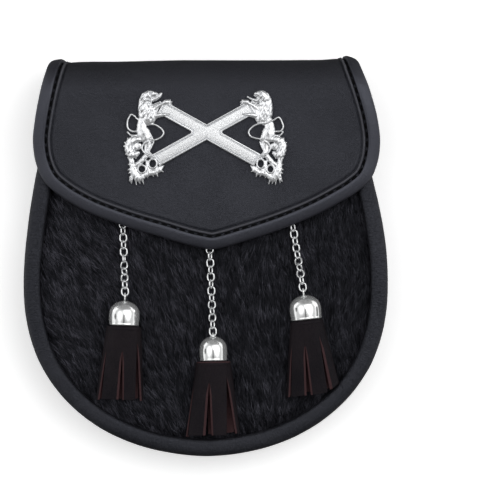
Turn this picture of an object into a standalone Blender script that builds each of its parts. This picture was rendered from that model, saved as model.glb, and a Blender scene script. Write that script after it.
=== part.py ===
"""A sporran pouch: a leather pouch with a calf-hair front, worn at the waist over a kilt.

It lies on its back. X runs to the right across its front, Y up towards the fold of the flap,
and +Z out of the front. The origin is on the surface it lies on, under the middle.
Rows of the tables are in millimetres; everything that is built is in metres.
"""

import math

import bmesh
import bpy
import numpy as np
from mathutils import Matrix, Vector

MM = 0.001
GAP = 0.3  # clearance that touching pieces keep, mm
FINE_STEPS = 401  # points of a curve before it is cut to a piece's own count

# ---------------------------------------------------------------- driving dimensions, mm

# half the width of the pouch at heights y, from its hidden top to its lowest point
BODY_OUTLINE = (  # y, half_width
    (88.0, 74.8),
    (64.0, 82.6),
    (43.0, 87.3),
    (20.0, 91.8),
    (-3.0, 94.5),
    (-20.0, 94.7),
    (-38.0, 92.2),
    (-56.5, 85.3),
    (-73.0, 73.8),
    (-88.0, 55.5),
    (-98.2, 33.0),
    (-102.9, 12.0),
)
BODY_BOTTOM = -103.8

RIM_WIDTH = 9.0
BACK_RIM_HEIGHT = 8.4
FRONT_RIM_HEIGHT = 8.4
FRONT_RIM_BASE = 25.4
RIM_TOP_Y = 70.0  # both rims end here, under the flap
RIM_SIDES = 8
BODY_STATIONS = 35

WALL = 2.2  # leather of panels and flap
GUSSET_WALL = 2.0
GUSSET_INSET = 3.6
GUSSET_BOW = 2.0  # how far the side wall is drawn in at mid depth
GUSSET_TOP_Y = 80.0

BACK_PANEL_BASE = 6.8
BACK_PANEL_INSET = 8.6
BACK_PANEL_TOP_Y = 82.5
FUR_BASE = 29.0
FUR_INSET = 9.4
FUR_RISE = 2.6  # crown of the padded front
FUR_CENTRE_Y = -12.0
PANEL_RINGS = 3

# the flap as cut leather: x across it, s along it, which is y until the fold begins
FLAP_TOP_SHEET = 40.0  # height of the middle of the sheet on the front
FOLD_Y = 83.6
FOLD_RADIUS = 17.3
FLAP_TAIL = 11.0  # the strip behind the fold that is sewn to the back
FLAP_EDGE_LEFT = (  # x, s from the fold's top to the corner and along the V
    (-79.2, 109.0),
    (-82.7, 98.5),
    (-86.2, 84.6),
    (-88.6, 72.1),
    (-89.8, 59.6),
    (-87.9, 47.5),
    (-83.6, 38.6),
    (-75.4, 31.8),
    (-65.0, 25.6),
    (-44.2, 17.2),
    (-23.4, 10.8),
    (-3.5, 4.9),
)
FLAP_TIP = (3.4, 3.7)
FLAP_EDGE_RIGHT = (  # x, s from the tip back up to the fold's top
    (10.2, 5.0),
    (18.2, 7.5),
    (39.0, 14.5),
    (59.8, 23.2),
    (70.2, 28.8),
    (78.6, 34.0),
    (85.4, 40.0),
    (89.2, 48.5),
    (90.7, 59.6),
    (89.2, 72.1),
    (86.2, 84.6),
    (81.6, 98.5),
    (79.0, 109.0),
)
FLAP_TAIL_HALF_WIDTH = 73.0
FLAP_HALF_WIDTH = 88.0
FLAP_DROOP = 3.6  # the sides sag onto the pouch
FLAP_DROOP_LENGTH = 36.0
FLAP_STATIONS = 48
FLAP_COLUMNS = 8
FLAP_FRONT_ROWS = 8
FLAP_FOLD_ROWS = 7

FLAP_RIM = (  # inset from the flap's edge, lift from the middle of the sheet
    (0.8, -1.1),
    (0.0, 0.4),
    (0.7, 2.0),
    (2.6, 2.9),
    (4.6, 2.4),
    (6.2, 0.6),
    (5.9, -1.1),
)
FLAP_SHEET_INSET = 6.6
FLAP_TIP_BLUNT = 0.6  # the sheet's tip is cut off so far up, inside the rim

STUD_PLACE = (3.0, 26.0)
STUD_RADIUS = 5.0
STUD_POST_RADIUS = 3.0
STUD_DISC = 1.2
STUD_SIDES = 10

BADGE_CENTRE = (1.2, 64.7)
LION_WIRE_HEIGHT = 1.3
BOLD_STROKE = 1.7  # strokes above this radius have rounder ends and a cut-back upper edge
STROKE_CHAMFER = 0.8
CREST_SHARE = 0.55  # what is left of a stroke's plan at its crest
UPPER_ARM = 27.5  # from the middle of the saltire
LOWER_ARM = 30.0
BAR_WIDTH = 6.2
BAR_ANGLE = math.radians(27.4)
BAR_THICKNESS = 1.8
BAR_BORDER = 1.1
CHANNEL_DEPTH = 0.5

# one lion, facing the saltire from the left: tapered strokes from one end to the other
LION_STROKES = (  # name, x1, y1, r1, x2, y2, r2, height
    ("head", -31.0, 18.3, 2.7, -28.4, 18.9, 1.9, 2.8),
    ("upper_jaw", -28.9, 19.7, 1.4, -26.6, 19.5, 0.7, 2.3),
    ("lower_jaw", -28.6, 17.2, 1.4, -24.2, 19.1, 0.6, 2.0),
    ("mane", -33.0, 16.4, 3.0, -32.2, 10.7, 4.0, 2.5),
    ("chest", -30.6, 13.2, 3.7, -30.4, 8.3, 3.3, 2.6),
    ("waist", -31.0, 7.8, 2.9, -33.1, 3.0, 2.4, 2.3),
    ("hip", -33.7, 2.0, 2.5, -33.0, -2.0, 2.7, 2.6),
    ("upper_foreleg", -28.5, 12.9, 1.3, -21.6, 15.4, 1.1, 2.2),
    ("lower_foreleg", -28.5, 8.0, 1.4, -22.6, 8.6, 1.0, 2.0),
    ("upper_paw", -21.6, 15.4, 1.5, -19.4, 15.0, 1.2, 2.4),
    ("thigh", -31.6, -2.6, 2.0, -30.6, -7.0, 1.4, 2.1),
    ("shin", -30.6, -7.0, 1.4, -31.2, -12.2, 1.3, 1.9),
    ("hind_foot", -31.2, -12.2, 1.3, -25.8, -15.0, 1.2, 1.9),
    ("tail_root", -35.2, -2.6, 1.4, -39.3, -3.4, 1.8, 1.8),
    ("tail_curl", -39.3, -3.4, 1.8, -41.0, -7.2, 1.8, 2.1),
    ("tail_tuft", -41.0, -7.2, 1.8, -40.1, -11.2, 1.6, 2.1),
    ("tail_tip", -40.1, -11.2, 1.6, -37.2, -11.8, 1.1, 1.8),
    ("tail_brace", -40.0, -11.4, 1.2, -38.9, -17.6, 1.8, 1.4),
    ("back_leg", -32.4, -12.2, 1.2, -35.0, -16.4, 1.3, 1.8),
    ("ground_left", -38.9, -17.6, 2.2, -37.4, -22.6, 2.2, 2.0),
    ("ground_middle", -37.4, -22.6, 2.2, -30.2, -20.6, 1.3, 1.8),
    ("ground_right", -30.2, -20.6, 1.3, -23.6, -18.6, 1.3, 1.7),
    ("foot_ring", -31.0, -15.0, 0.8, -30.2, -20.0, 0.9, 1.5),
    ("back_foot", -35.0, -16.4, 1.3, -38.6, -18.4, 1.2, 1.6),
    ("claw_far_left", -38.4, -23.2, 1.0, -40.0, -25.6, 0.5, 1.3),
    ("claw_left", -37.2, -23.6, 1.0, -36.8, -26.6, 0.4, 1.3),
    ("claw_middle", -35.4, -22.8, 1.0, -33.6, -26.2, 0.4, 1.3),
    ("claw_right", -27.0, -20.0, 0.9, -25.6, -22.4, 0.4, 1.3),
    ("claw_far_right", -24.0, -18.8, 0.9, -22.8, -20.8, 0.4, 1.3),
)
LION_WIRES = (  # name, radius, points x, y along a thin loop of the casting
    ("front_loop", 0.6,
     ((-31.4, 3.6), (-27.0, 3.9), (-23.4, 2.0), (-22.5, 0.0), (-24.8, -2.8), (-29.6, -4.2))),
    ("tail_loop", 0.65,
     ((-34.6, 5.9), (-39.1, 8.9), (-40.9, 5.6), (-40.7, 2.2), (-38.4, 0.9), (-35.4, 1.0))),
)

LINK_HALF_LENGTH = 2.2  # to the middle of the wire
LINK_HALF_WIDTH = 1.72
LINK_WIRE = 0.5  # radius
LINK_PITCH = 3.62
LINK_SEGMENTS = 10
WIRE_SIDES = 5
CHAIN_LEVEL = 3.0  # a chain leaves its cap level for so long
CHAIN_FALL = 17.0  # and then comes down onto the fur over this length
CHAIN_REACH = 65.0  # no chain is longer

# where each tassel lies: the middle of its cap's mouth, and how far it leans from straight down
PENDANTS = (  # name, x, y, lean in degrees, cap_radius, cap_height, links, length, left, right, rise
    ("left", -42.0, -35.6, -2.0, 8.0, 13.0, 13, 39.4, 12.4, 10.9, 0.6),
    ("middle", 4.7, -54.0, 1.2, 7.3, 13.0, 15, 39.2, 14.3, 13.2, 1.0),
    ("right", 53.2, -32.6, 6.6, 8.3, 13.0, 13, 39.2, 13.8, 12.3, 4.4),
)
CAP_PROFILE = (  # radius and height, as shares of the cap's own, from its lip to its crown
    (1.00, 0.00),
    (1.00, 0.08),
    (0.93, 0.12),
    (0.94, 0.36),
    (0.84, 0.65),
    (0.58, 0.89),
    (0.20, 1.00),
)
CAP_WALL = 0.9
CAP_SIDES = 12
EYE_RADIUS = 1.7
EYE_SINK = 0.5  # how far the eye is sunk in the crown, to the middle of its wire

STRIPS = 9
STRIP_THICKNESS = 1.5
SLIT_START = 6.0  # from the mouth of the cap
SLIT_TOP = 0.10  # half of a slit at its start, as a share of a strip's pitch
SLIT_END = 0.15
SKIRT_TOP_SHARE = 1.15  # half its width, as a share of the cap's radius
SKIRT_TOP_HALF_DEPTH = 6.6
SKIRT_END_HALF_DEPTH = 3.6
HEAD_LENGTH = 5.0  # of the roll inside the cap
HEAD_SHOULDER = 0.4  # the roll widens from here, below the mouth of the cap
SKIRT_START = 1.0

ANCHOR_RADIUS = 3.6
ANCHOR_PLATE = 0.9

LOOP_CENTRES_X = (-45.0, 45.0)
LOOP_CENTRE_Y = 45.0
LOOP_WIDTH = 26.0
LOOP_PROFILE = (  # y from the loop's middle, z; down its outer side, back along its inner side
    (-21.5, 4.5),
    (-13.6, 4.5),
    (-11.4, 0.0),
    (11.4, 0.0),
    (13.6, 4.5),
    (21.5, 4.5),
    (21.5, 6.5),
    (12.2, 6.5),
    (10.0, 2.0),
    (-10.0, 2.0),
    (-12.2, 6.5),
    (-21.5, 6.5),
)

# ---------------------------------------------------------------- materials

MATERIALS = {  # name: base colour, roughness, metallic
    "black_leather": ((0.030, 0.031, 0.037), 0.45, 0.0),
    "padded_leather": ((0.026, 0.026, 0.031), 0.38, 0.0),
    "calf_hair": ((0.010, 0.010, 0.014), 0.60, 0.0),
    "tassel_leather": ((0.012, 0.010, 0.011), 0.50, 0.0),
    "chrome": ((0.80, 0.81, 0.82), 0.10, 1.0),
    "chain_steel": ((0.62, 0.63, 0.65), 0.22, 1.0),
}


def make_material(name):
    colour, roughness, metallic = MATERIALS[name]
    material = bpy.data.materials.get(name) or bpy.data.materials.new(name)
    material.use_nodes = True
    shader = material.node_tree.nodes["Principled BSDF"]
    shader.inputs["Base Color"].default_value = (*colour, 1.0)
    shader.inputs["Roughness"].default_value = roughness
    shader.inputs["Metallic"].default_value = metallic
    return material


# ---------------------------------------------------------------- meshes


def clear_scene():
    for item in list(bpy.data.objects):
        bpy.data.objects.remove(item, do_unlink=True)


def add_piece(name, mesh_parts, material, smooth_angle=35.0):
    """One object from (vertices in mm, faces) lists, shaded smooth except at sharp edges."""
    vertices, faces = [], []
    for part_vertices, part_faces in mesh_parts:
        start = len(vertices)
        vertices += [Vector(v) * MM for v in part_vertices]
        faces += [[start + i for i in face] for face in part_faces]
    mesh = bpy.data.meshes.new(name)
    mesh.from_pydata(vertices, [], faces)
    shell = bmesh.new()
    shell.from_mesh(mesh)
    bmesh.ops.recalc_face_normals(shell, faces=shell.faces)
    shell.to_mesh(mesh)
    shell.free()
    mesh.shade_smooth()
    mesh.set_sharp_from_angle(angle=math.radians(smooth_angle))
    piece = bpy.data.objects.new(name, mesh)
    piece.data.materials.append(make_material(material))
    bpy.context.scene.collection.objects.link(piece)
    return piece


def fuse(piece, tool, itself=False):
    """Joins tool to piece, and leaves tool in the file as a guide."""
    tool.hide_render = True
    tool.display_type = "WIRE"
    union = piece.modifiers.new("fuse " + tool.name, "BOOLEAN")
    union.operation = "UNION"
    union.object = tool
    union.use_self = itself


def tube_mesh(rings):
    """A closed body through equal rings of points, with a flat cap at each end."""
    sides = len(rings[0])
    vertices = [point for ring in rings for point in ring]
    faces = [list(range(sides))[::-1]]
    for row in range(len(rings) - 1):
        for side in range(sides):
            a, b = row * sides + side, row * sides + (side + 1) % sides
            faces.append([a, b, b + sides, a + sides])
    faces.append([(len(rings) - 1) * sides + side for side in range(sides)])
    return vertices, faces


def loop_mesh(rings):
    """As tube_mesh, but the last ring joins the first."""
    vertices, faces = tube_mesh(rings)
    sides, last = len(rings[0]), (len(rings) - 1) * len(rings[0])
    faces = faces[1:-1]
    for side in range(sides):
        across = (side + 1) % sides
        faces.append([last + side, last + across, across, side])
    return vertices, faces


def slab_mesh(upper, lower):
    """A closed sheet between two grids of points that share their rows and columns."""
    rows, columns = len(upper), len(upper[0])
    count = rows * columns
    vertices = [p for row in upper for p in row] + [p for row in lower for p in row]
    faces = []
    for r in range(rows - 1):
        for c in range(columns - 1):
            a = r * columns + c
            faces.append([a, a + 1, a + columns + 1, a + columns])
            faces.append([count + i for i in (a, a + columns, a + columns + 1, a + 1)])
    border = list(range(columns))
    border += [r * columns + columns - 1 for r in range(1, rows)]
    border += [(rows - 1) * columns + c for c in range(columns - 2, -1, -1)]
    border += [r * columns for r in range(rows - 2, 0, -1)]
    for here, there in zip(border, border[1:] + border[:1]):
        faces.append([here, count + here, count + there, there])
    return vertices, faces


def prism_mesh(outline, bottom, top, chamfer=0.0):
    """An upright body on a plan outline, with its upper edge cut back by the chamfer."""
    middle = sum((Vector(p) for p in outline), Vector((0, 0))) / len(outline)
    rings = [[(x, y, bottom) for x, y in outline], [(x, y, top - chamfer) for x, y in outline]]
    if chamfer:
        inner = [middle + (Vector(p) - middle) * CREST_SHARE for p in outline]
        rings.append([(p.x, p.y, top) for p in inner])
    return tube_mesh(rings)


# ---------------------------------------------------------------- curves


def smooth_path(points, count=FINE_STEPS):
    """Points at even steps along a smooth curve through the given points."""
    points = np.asarray(points, float)
    knots = np.r_[0, np.cumsum(np.linalg.norm(np.diff(points, axis=0), axis=1))]
    slopes = np.gradient(points, knots, axis=0)
    fine = np.linspace(0, knots[-1], 2 * FINE_STEPS)
    span = np.clip(np.searchsorted(knots, fine, side="right") - 1, 0, len(points) - 2)
    width = (knots[span + 1] - knots[span])[:, None]
    t = (fine[:, None] - knots[span][:, None]) / width
    curve = (
        (2 * t**3 - 3 * t**2 + 1) * points[span]
        + (t**3 - 2 * t**2 + t) * width * slopes[span]
        + (3 * t**2 - 2 * t**3) * points[span + 1]
        + (t**3 - t**2) * width * slopes[span + 1]
    )
    return even_steps(curve, count)


def even_steps(curve, count):
    along = np.r_[0, np.cumsum(np.linalg.norm(np.diff(curve, axis=0), axis=1))]
    steps = np.linspace(0, along[-1], count)
    return np.stack([np.interp(steps, along, axis) for axis in curve.T], axis=1)


def shifted_in(path, inset):
    """A plane path moved to its left by inset."""
    run = np.gradient(path, axis=0)
    run /= np.linalg.norm(run, axis=1)[:, None]
    return path + inset * np.stack([-run[:, 1], run[:, 0]], axis=1)


def body_path(inset, top_y, count=BODY_STATIONS):
    """The pouch's outline moved in by inset, from its left top round the bottom to its right top."""
    left = [(-half, y) for y, half in BODY_OUTLINE]
    right = [(half, y) for y, half in reversed(BODY_OUTLINE)]
    fine = shifted_in(smooth_path(left + [(0.0, BODY_BOTTOM)] + right), inset)
    return even_steps(fine[fine[:, 1] <= top_y], count)


def flap_path(count=FINE_STEPS):
    """The flap's edge on the cut leather, from the end of its left tail round the V to the right."""
    tail_s = FOLD_Y + math.pi * FOLD_RADIUS
    tail = [(FLAP_TAIL_HALF_WIDTH, tail_s + FLAP_TAIL), (FLAP_TAIL_HALF_WIDTH + 1.2, tail_s - 4.0)]
    left = [(-x, s) for x, s in tail]
    points = left + list(FLAP_EDGE_LEFT) + [FLAP_TIP] + list(FLAP_EDGE_RIGHT) + tail[::-1]
    return smooth_path(points, count)


def flap_point(x, s, lift=0.0):
    """Where a point of the cut leather lies once the flap is folded, lifted off its middle."""
    low, turn = FLAP_TOP_SHEET - 2 * FOLD_RADIUS, (s - FOLD_Y) / FOLD_RADIUS
    if turn > math.pi:
        return (x, FOLD_Y - (turn - math.pi) * FOLD_RADIUS, low - lift)
    if turn > 0:
        reach = FOLD_RADIUS + lift
        return (x, FOLD_Y + reach * math.sin(turn), low + FOLD_RADIUS + reach * math.cos(turn))
    sag = min(1.0, (FOLD_Y - s) / FLAP_DROOP_LENGTH)
    sag = FLAP_DROOP * sag * sag * (3 - 2 * sag) * (abs(x) / FLAP_HALF_WIDTH) ** 3
    return (x, s, FLAP_TOP_SHEET - sag + lift)


def fur_height(x, y):
    """Top of the fur panel at a place on it, crowned in the middle."""
    edge = body_path(FUR_INSET, RIM_TOP_Y)
    away = Vector((x, y - FUR_CENTRE_Y))
    heading = edge - np.array([0.0, FUR_CENTRE_Y])
    if away.length < 1e-6:
        return FUR_BASE + WALL + FUR_RISE
    turn = (heading @ np.array(away)) / np.linalg.norm(heading, axis=1)
    share = away.length / np.linalg.norm(heading[int(np.argmax(turn))])
    return FUR_BASE + WALL + FUR_RISE * (1 - min(1.0, share) ** 2)


# ---------------------------------------------------------------- the pouch


def swept(path, profile):
    """A body whose cross-section is profile, rows of inset and height, all along a plane path."""
    shifted = [(shifted_in(path, inset), z) for inset, z in profile]
    return tube_mesh([[(line[i][0], line[i][1], z) for line, z in shifted] for i in range(len(path))])


def rim_profile(base, height):
    """A padded roll, lying flat underneath."""
    rows = []
    for side in range(RIM_SIDES):
        turn = 2 * math.pi * (side + 0.5) / RIM_SIDES - math.pi / 2
        across, up = math.cos(turn), math.sin(turn)
        rows.append((RIM_WIDTH / 2 * (1 - across), base + height / 2 * (1 + up)))
    low = min(z for _, z in rows)
    stretch = height / (max(z for _, z in rows) - low)
    return [(inset, base + (z - low) * stretch) for inset, z in rows]


def gusset_profile():
    low = BACK_RIM_HEIGHT + GAP
    high = FRONT_RIM_BASE - GAP
    outer = ((GUSSET_INSET, low), (GUSSET_INSET + GUSSET_BOW, (low + high) / 2), (GUSSET_INSET, high))
    inner = [(inset + GUSSET_WALL, z) for inset, z in reversed(outer)]
    return list(outer) + inner


def panel_mesh(edge, centre, heights, rise):
    """A plate inside an edge, its lower and upper height at the edge, crowned by rise."""
    shares = [1 - ring / PANEL_RINGS for ring in range(PANEL_RINGS)]
    count = len(edge)
    low, high = heights
    middle = np.array(centre)
    vertices, faces = [], []
    for base in (low, high):
        for share in shares:
            crown = base + rise * (1 - share**2)
            vertices += [(x, y, crown) for x, y in middle + (edge - middle) * share]
        vertices.append((*centre, base + rise))
    half = PANEL_RINGS * count + 1
    for layer in range(2):
        start = layer * half
        for i in range(count):
            j = (i + 1) % count
            for ring in range(PANEL_RINGS - 1):
                a, b = start + ring * count, start + (ring + 1) * count
                faces.append([a + i, a + j, b + j, b + i])
            hub = start + half - 1
            faces.append([hub - count + i, hub - count + j, hub])
    faces += [[i, (i + 1) % count, half + (i + 1) % count, half + i] for i in range(count)]
    return vertices, faces


def closed_edge(inset, top_y, top_points=6):
    """The pouch's outline with a straight top, as one closed edge."""
    path = body_path(inset, top_y)
    across = np.linspace(path[-1], path[0], top_points + 2)[1:-1]
    return np.vstack([path, across])


def make_pouch():
    edge = body_path(0.0, RIM_TOP_Y)
    add_piece("back_rim", [swept(edge, rim_profile(0.0, BACK_RIM_HEIGHT))], "padded_leather")
    front_roll = rim_profile(FRONT_RIM_BASE, FRONT_RIM_HEIGHT)
    add_piece("front_rim", [swept(edge, front_roll)], "padded_leather")
    add_piece("gusset", [swept(body_path(0.0, GUSSET_TOP_Y), gusset_profile())], "black_leather")
    back = [tuple(point) for point in closed_edge(BACK_PANEL_INSET, BACK_PANEL_TOP_Y)]
    add_piece("back_panel", [prism_mesh(back, BACK_PANEL_BASE, BACK_PANEL_BASE + WALL)], "black_leather")
    fur = closed_edge(FUR_INSET, RIM_TOP_Y)
    fur_mesh = panel_mesh(fur, (0.0, FUR_CENTRE_Y), (FUR_BASE, FUR_BASE + WALL), FUR_RISE)
    add_piece("fur_panel", [fur_mesh], "calf_hair")


def make_flap():
    edge = flap_path(FLAP_STATIONS)
    sides = [shifted_in(edge, inset) for inset, _ in FLAP_RIM]
    rings = [
        [flap_point(*side[i], lift) for side, (_, lift) in zip(sides, FLAP_RIM)] for i in range(len(edge))
    ]
    add_piece("flap_rim", [tube_mesh(rings)], "padded_leather")

    inner = shifted_in(flap_path(), FLAP_SHEET_INSET)
    tip = int(np.argmin(inner[:, 1]))
    left, right = inner[: tip + 1][::-1], inner[tip:]
    start = inner[tip, 1] + FLAP_TIP_BLUNT
    front = list(np.linspace(start, FOLD_Y, FLAP_FRONT_ROWS, endpoint=False))
    fold = list(np.linspace(FOLD_Y, FOLD_Y + math.pi * FOLD_RADIUS, FLAP_FOLD_ROWS))
    rows = front + fold + [inner[0, 1]]
    upper, lower = [], []
    for s in rows:
        start, end = np.interp(s, left[:, 1], left[:, 0]), np.interp(s, right[:, 1], right[:, 0])
        across = np.linspace(start, end, FLAP_COLUMNS + 1)
        upper.append([flap_point(x, s, WALL / 2) for x in across])
        lower.append([flap_point(x, s, -WALL / 2) for x in across])
    add_piece("flap", [slab_mesh(upper, lower)], "black_leather")


def turned(profile, sides):
    """A body turned about Z from rows of radius and height, closed flat at both ends."""
    rings = []
    for radius, z in profile:
        turns = [2 * math.pi * side / sides for side in range(sides)]
        rings.append([(radius * math.cos(t), radius * math.sin(t), z) for t in turns])
    return tube_mesh(rings)


def make_closure_stud():
    x, y = STUD_PLACE
    low = fur_height(x, y) + GAP
    high = flap_point(x, y, -WALL / 2)[2] - GAP
    profile = (
        (STUD_RADIUS, low),
        (STUD_RADIUS, low + STUD_DISC),
        (STUD_POST_RADIUS, low + STUD_DISC),
        (STUD_POST_RADIUS, high - STUD_DISC),
        (STUD_RADIUS, high - STUD_DISC),
        (STUD_RADIUS, high),
    )
    vertices, faces = turned(profile, STUD_SIDES)
    add_piece("closure_stud", [([(x + vx, y + vy, vz) for vx, vy, vz in vertices], faces)], "chain_steel")


def make_belt_loops():
    for name, x in zip(("belt_loop_left", "belt_loop_right"), LOOP_CENTRES_X):
        faces_x = (x - LOOP_WIDTH / 2, x + LOOP_WIDTH / 2)
        ends = [[(face_x, LOOP_CENTRE_Y + y, z) for y, z in LOOP_PROFILE] for face_x in faces_x]
        add_piece(name, [tube_mesh(ends)], "black_leather")


# ---------------------------------------------------------------- the badge


def stroke_outline(x1, y1, r1, x2, y2, r2, end_points):
    """Plan of a tapered stroke with round ends."""
    run = math.atan2(y2 - y1, x2 - x1)
    outline = []
    for x, y, radius, facing in ((x2, y2, r2, run), (x1, y1, r1, run + math.pi)):
        for step in range(end_points):
            turn = facing + math.pi * (step / (end_points - 1) - 0.5)
            outline.append((x + radius * math.cos(turn), y + radius * math.sin(turn)))
    return outline


def lion_strokes():
    strokes = [row[1:] for row in LION_STROKES]
    for _, radius, points in LION_WIRES:
        for (x1, y1), (x2, y2) in zip(points, points[1:]):
            strokes.append((x1, y1, radius, x2, y2, radius, LION_WIRE_HEIGHT))
    return strokes


def bar_meshes(turn, base):
    """One bar of the saltire, with a raised border round a sunken channel."""
    frame = Matrix.Rotation(turn, 2)
    arms = {end: end * (UPPER_ARM if end * turn > 0 else LOWER_ARM) for end in (-1, 1)}
    plates = [(arms[-1], arms[1], 0.0, BAR_WIDTH / 2, BAR_THICKNESS - CHANNEL_DEPTH)]
    edge = (BAR_WIDTH - BAR_BORDER) / 2
    for end in (-1, 1):
        for side in (-1, 1):
            corner = edge * math.tan(BAR_ANGLE) ** (1 if end * side * turn > 0 else -1)
            start = end * (corner - BAR_BORDER / 2)
            plates.append((start, arms[end], side * edge, BAR_BORDER / 2, BAR_THICKNESS))
    meshes = []
    for start, stop, shift, width, top in plates:
        low, high = shift - width, shift + width
        corners = ((start, low), (stop, low), (stop, high), (start, high))
        outline = [tuple(frame @ Vector(corner)) for corner in corners]
        meshes.append(prism_mesh(outline, base, base + top))
    return meshes


def make_badge():
    base = flap_point(0.0, BADGE_CENTRE[1], WALL / 2)[2] + GAP
    parts = bar_meshes(BAR_ANGLE, base) + bar_meshes(-BAR_ANGLE, base)
    for side in (1, -1):
        for x1, y1, r1, x2, y2, r2, height in lion_strokes():
            bold = min(r1, r2) > BOLD_STROKE
            outline = stroke_outline(side * x1, y1, r1, side * x2, y2, r2, 4 if bold else 3)
            parts.append(prism_mesh(outline, base, base + height, STROKE_CHAMFER if bold else 0.0))
    middle = Vector((*BADGE_CENTRE, 0.0))
    parts = [([middle + Vector(v) for v in vertices], faces) for vertices, faces in parts]
    badge = add_piece("badge", parts[:1], "chrome")
    fuse(badge, add_piece("badge_relief", parts[1:], "chrome"), itself=True)


# ---------------------------------------------------------------- chains, caps and tassels


def link_mesh(centre, along, up, half_length, half_width):
    """An oval link of round wire, lying in the plane of along and across."""
    across = up.cross(along)
    rings = []
    for segment in range(LINK_SEGMENTS):
        turn = 2 * math.pi * segment / LINK_SEGMENTS
        straight = half_length - half_width
        end = math.copysign(straight, math.cos(turn)) if abs(math.cos(turn)) > 1e-9 else 0.0
        spine = along * (half_width * math.cos(turn) + end) + across * (half_width * math.sin(turn))
        out = (along * math.cos(turn) + across * math.sin(turn)).normalized()
        ring = []
        for side in range(WIRE_SIDES):
            roll = 2 * math.pi * side / WIRE_SIDES
            ring.append(centre + spine + LINK_WIRE * (out * math.cos(roll) + up * math.sin(roll)))
        rings.append(ring)
    return loop_mesh(rings)


def pendant_frame(x, y, lean, z):
    """The frame of a tassel: its own +Y runs up its chain."""
    return Matrix.Translation((x, y, z)) @ Matrix.Rotation(math.radians(lean), 4, "Z")


def chain_line(start, heading):
    """The line that a chain takes: from the eye of its cap down onto the fur, and up under the flap."""
    points = []
    rest = GAP + LINK_HALF_WIDTH + LINK_WIRE
    for distance in np.arange(0.0, CHAIN_REACH):
        x, y = start[0] + heading[0] * distance, start[1] + heading[1] * distance
        floor = fur_height(x, y) + rest
        fallen = min(1.0, max(0.0, distance - CHAIN_LEVEL) / CHAIN_FALL)
        fallen = fallen * fallen * (3 - 2 * fallen)
        points.append((x, y, floor + max(0.0, start[2] - floor) * (1 - fallen)))
    return np.array(points)


def make_chain(name, line, links):
    """Links from the cap's eye onwards, every second one standing on edge, fused where they bear.

    Returns where the eye at the chain's other end bears on the last link.
    """
    along = np.r_[0, np.cumsum(np.linalg.norm(np.diff(line, axis=0), axis=1))]

    def on_line(distance):
        return Vector([np.interp(distance, along, axis) for axis in line.T])

    hold = LINK_HALF_LENGTH - 2 * LINK_WIRE - GAP  # from an eye's wire to the middle of its link
    flat, upright = [], []
    for number in range(links):
        place = hold + number * LINK_PITCH
        heading = (on_line(place + LINK_WIRE) - on_line(place)).normalized()
        across = heading.cross(Vector((0, 0, 1))).normalized()
        links_here, normal = (upright, across) if number % 2 else (flat, across.cross(heading))
        links_here.append(link_mesh(on_line(place), heading, normal, LINK_HALF_LENGTH, LINK_HALF_WIDTH))
    chain = add_piece("chain_" + name, flat, "chain_steel")
    fuse(chain, add_piece("chain_" + name + "_upright_links", upright, "chain_steel"))
    return on_line(2 * hold + (links - 1) * LINK_PITCH)


def make_anchor(name, bearing, heading):
    """A plate on the front with an upright eye, whose near wire the chain bears on."""
    eye = bearing + heading * EYE_RADIUS
    floor = fur_height(eye.x, eye.y) + GAP
    plate = turned([(ANCHOR_RADIUS, floor), (ANCHOR_RADIUS, floor + ANCHOR_PLATE)], STUD_SIDES)
    plate = ([(x + eye.x, y + eye.y, z) for x, y, z in plate[0]], plate[1])
    anchor = add_piece("anchor_" + name, [plate], "chain_steel")
    across = heading.cross(Vector((0, 0, 1))).normalized()
    ring = link_mesh(eye, heading, across, EYE_RADIUS, EYE_RADIUS)
    fuse(anchor, add_piece("anchor_" + name + "_eye", [ring], "chain_steel"))


def make_cap(name, frame, radius, height):
    """A bell-shaped cap with an upright eye in its crown, open at its mouth."""
    outer = [(radius * r, height * h) for r, h in CAP_PROFILE]
    mouth, shoulder, crown = outer[2][0] - CAP_WALL, outer[4], outer[5]
    inner = [(mouth, 0.0), (mouth, outer[3][1]), (shoulder[0] - CAP_WALL, shoulder[1] - CAP_WALL / 2)]
    inner.append((crown[0] - CAP_WALL, crown[1] - CAP_WALL))
    rings = []
    for r, h in inner[::-1] + outer:
        turns = [2 * math.pi * side / CAP_SIDES for side in range(CAP_SIDES)]
        rings.append([frame @ Vector((r * math.cos(t), h, r * math.sin(t))) for t in turns])
    cap = add_piece("cap_" + name, [tube_mesh(rings)], "chrome")
    eye = frame @ Vector((0.0, height * CAP_PROFILE[-1][1] - EYE_SINK + EYE_RADIUS, 0.0))
    heading = (frame.to_3x3() @ Vector((0, 1, 0))).normalized()
    across = (frame.to_3x3() @ Vector((1, 0, 0))).normalized()
    ring = link_mesh(eye, heading, across, EYE_RADIUS, EYE_RADIUS)
    fuse(cap, add_piece("cap_" + name + "_eye", [ring], "chrome"))
    return eye + heading * EYE_RADIUS


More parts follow.
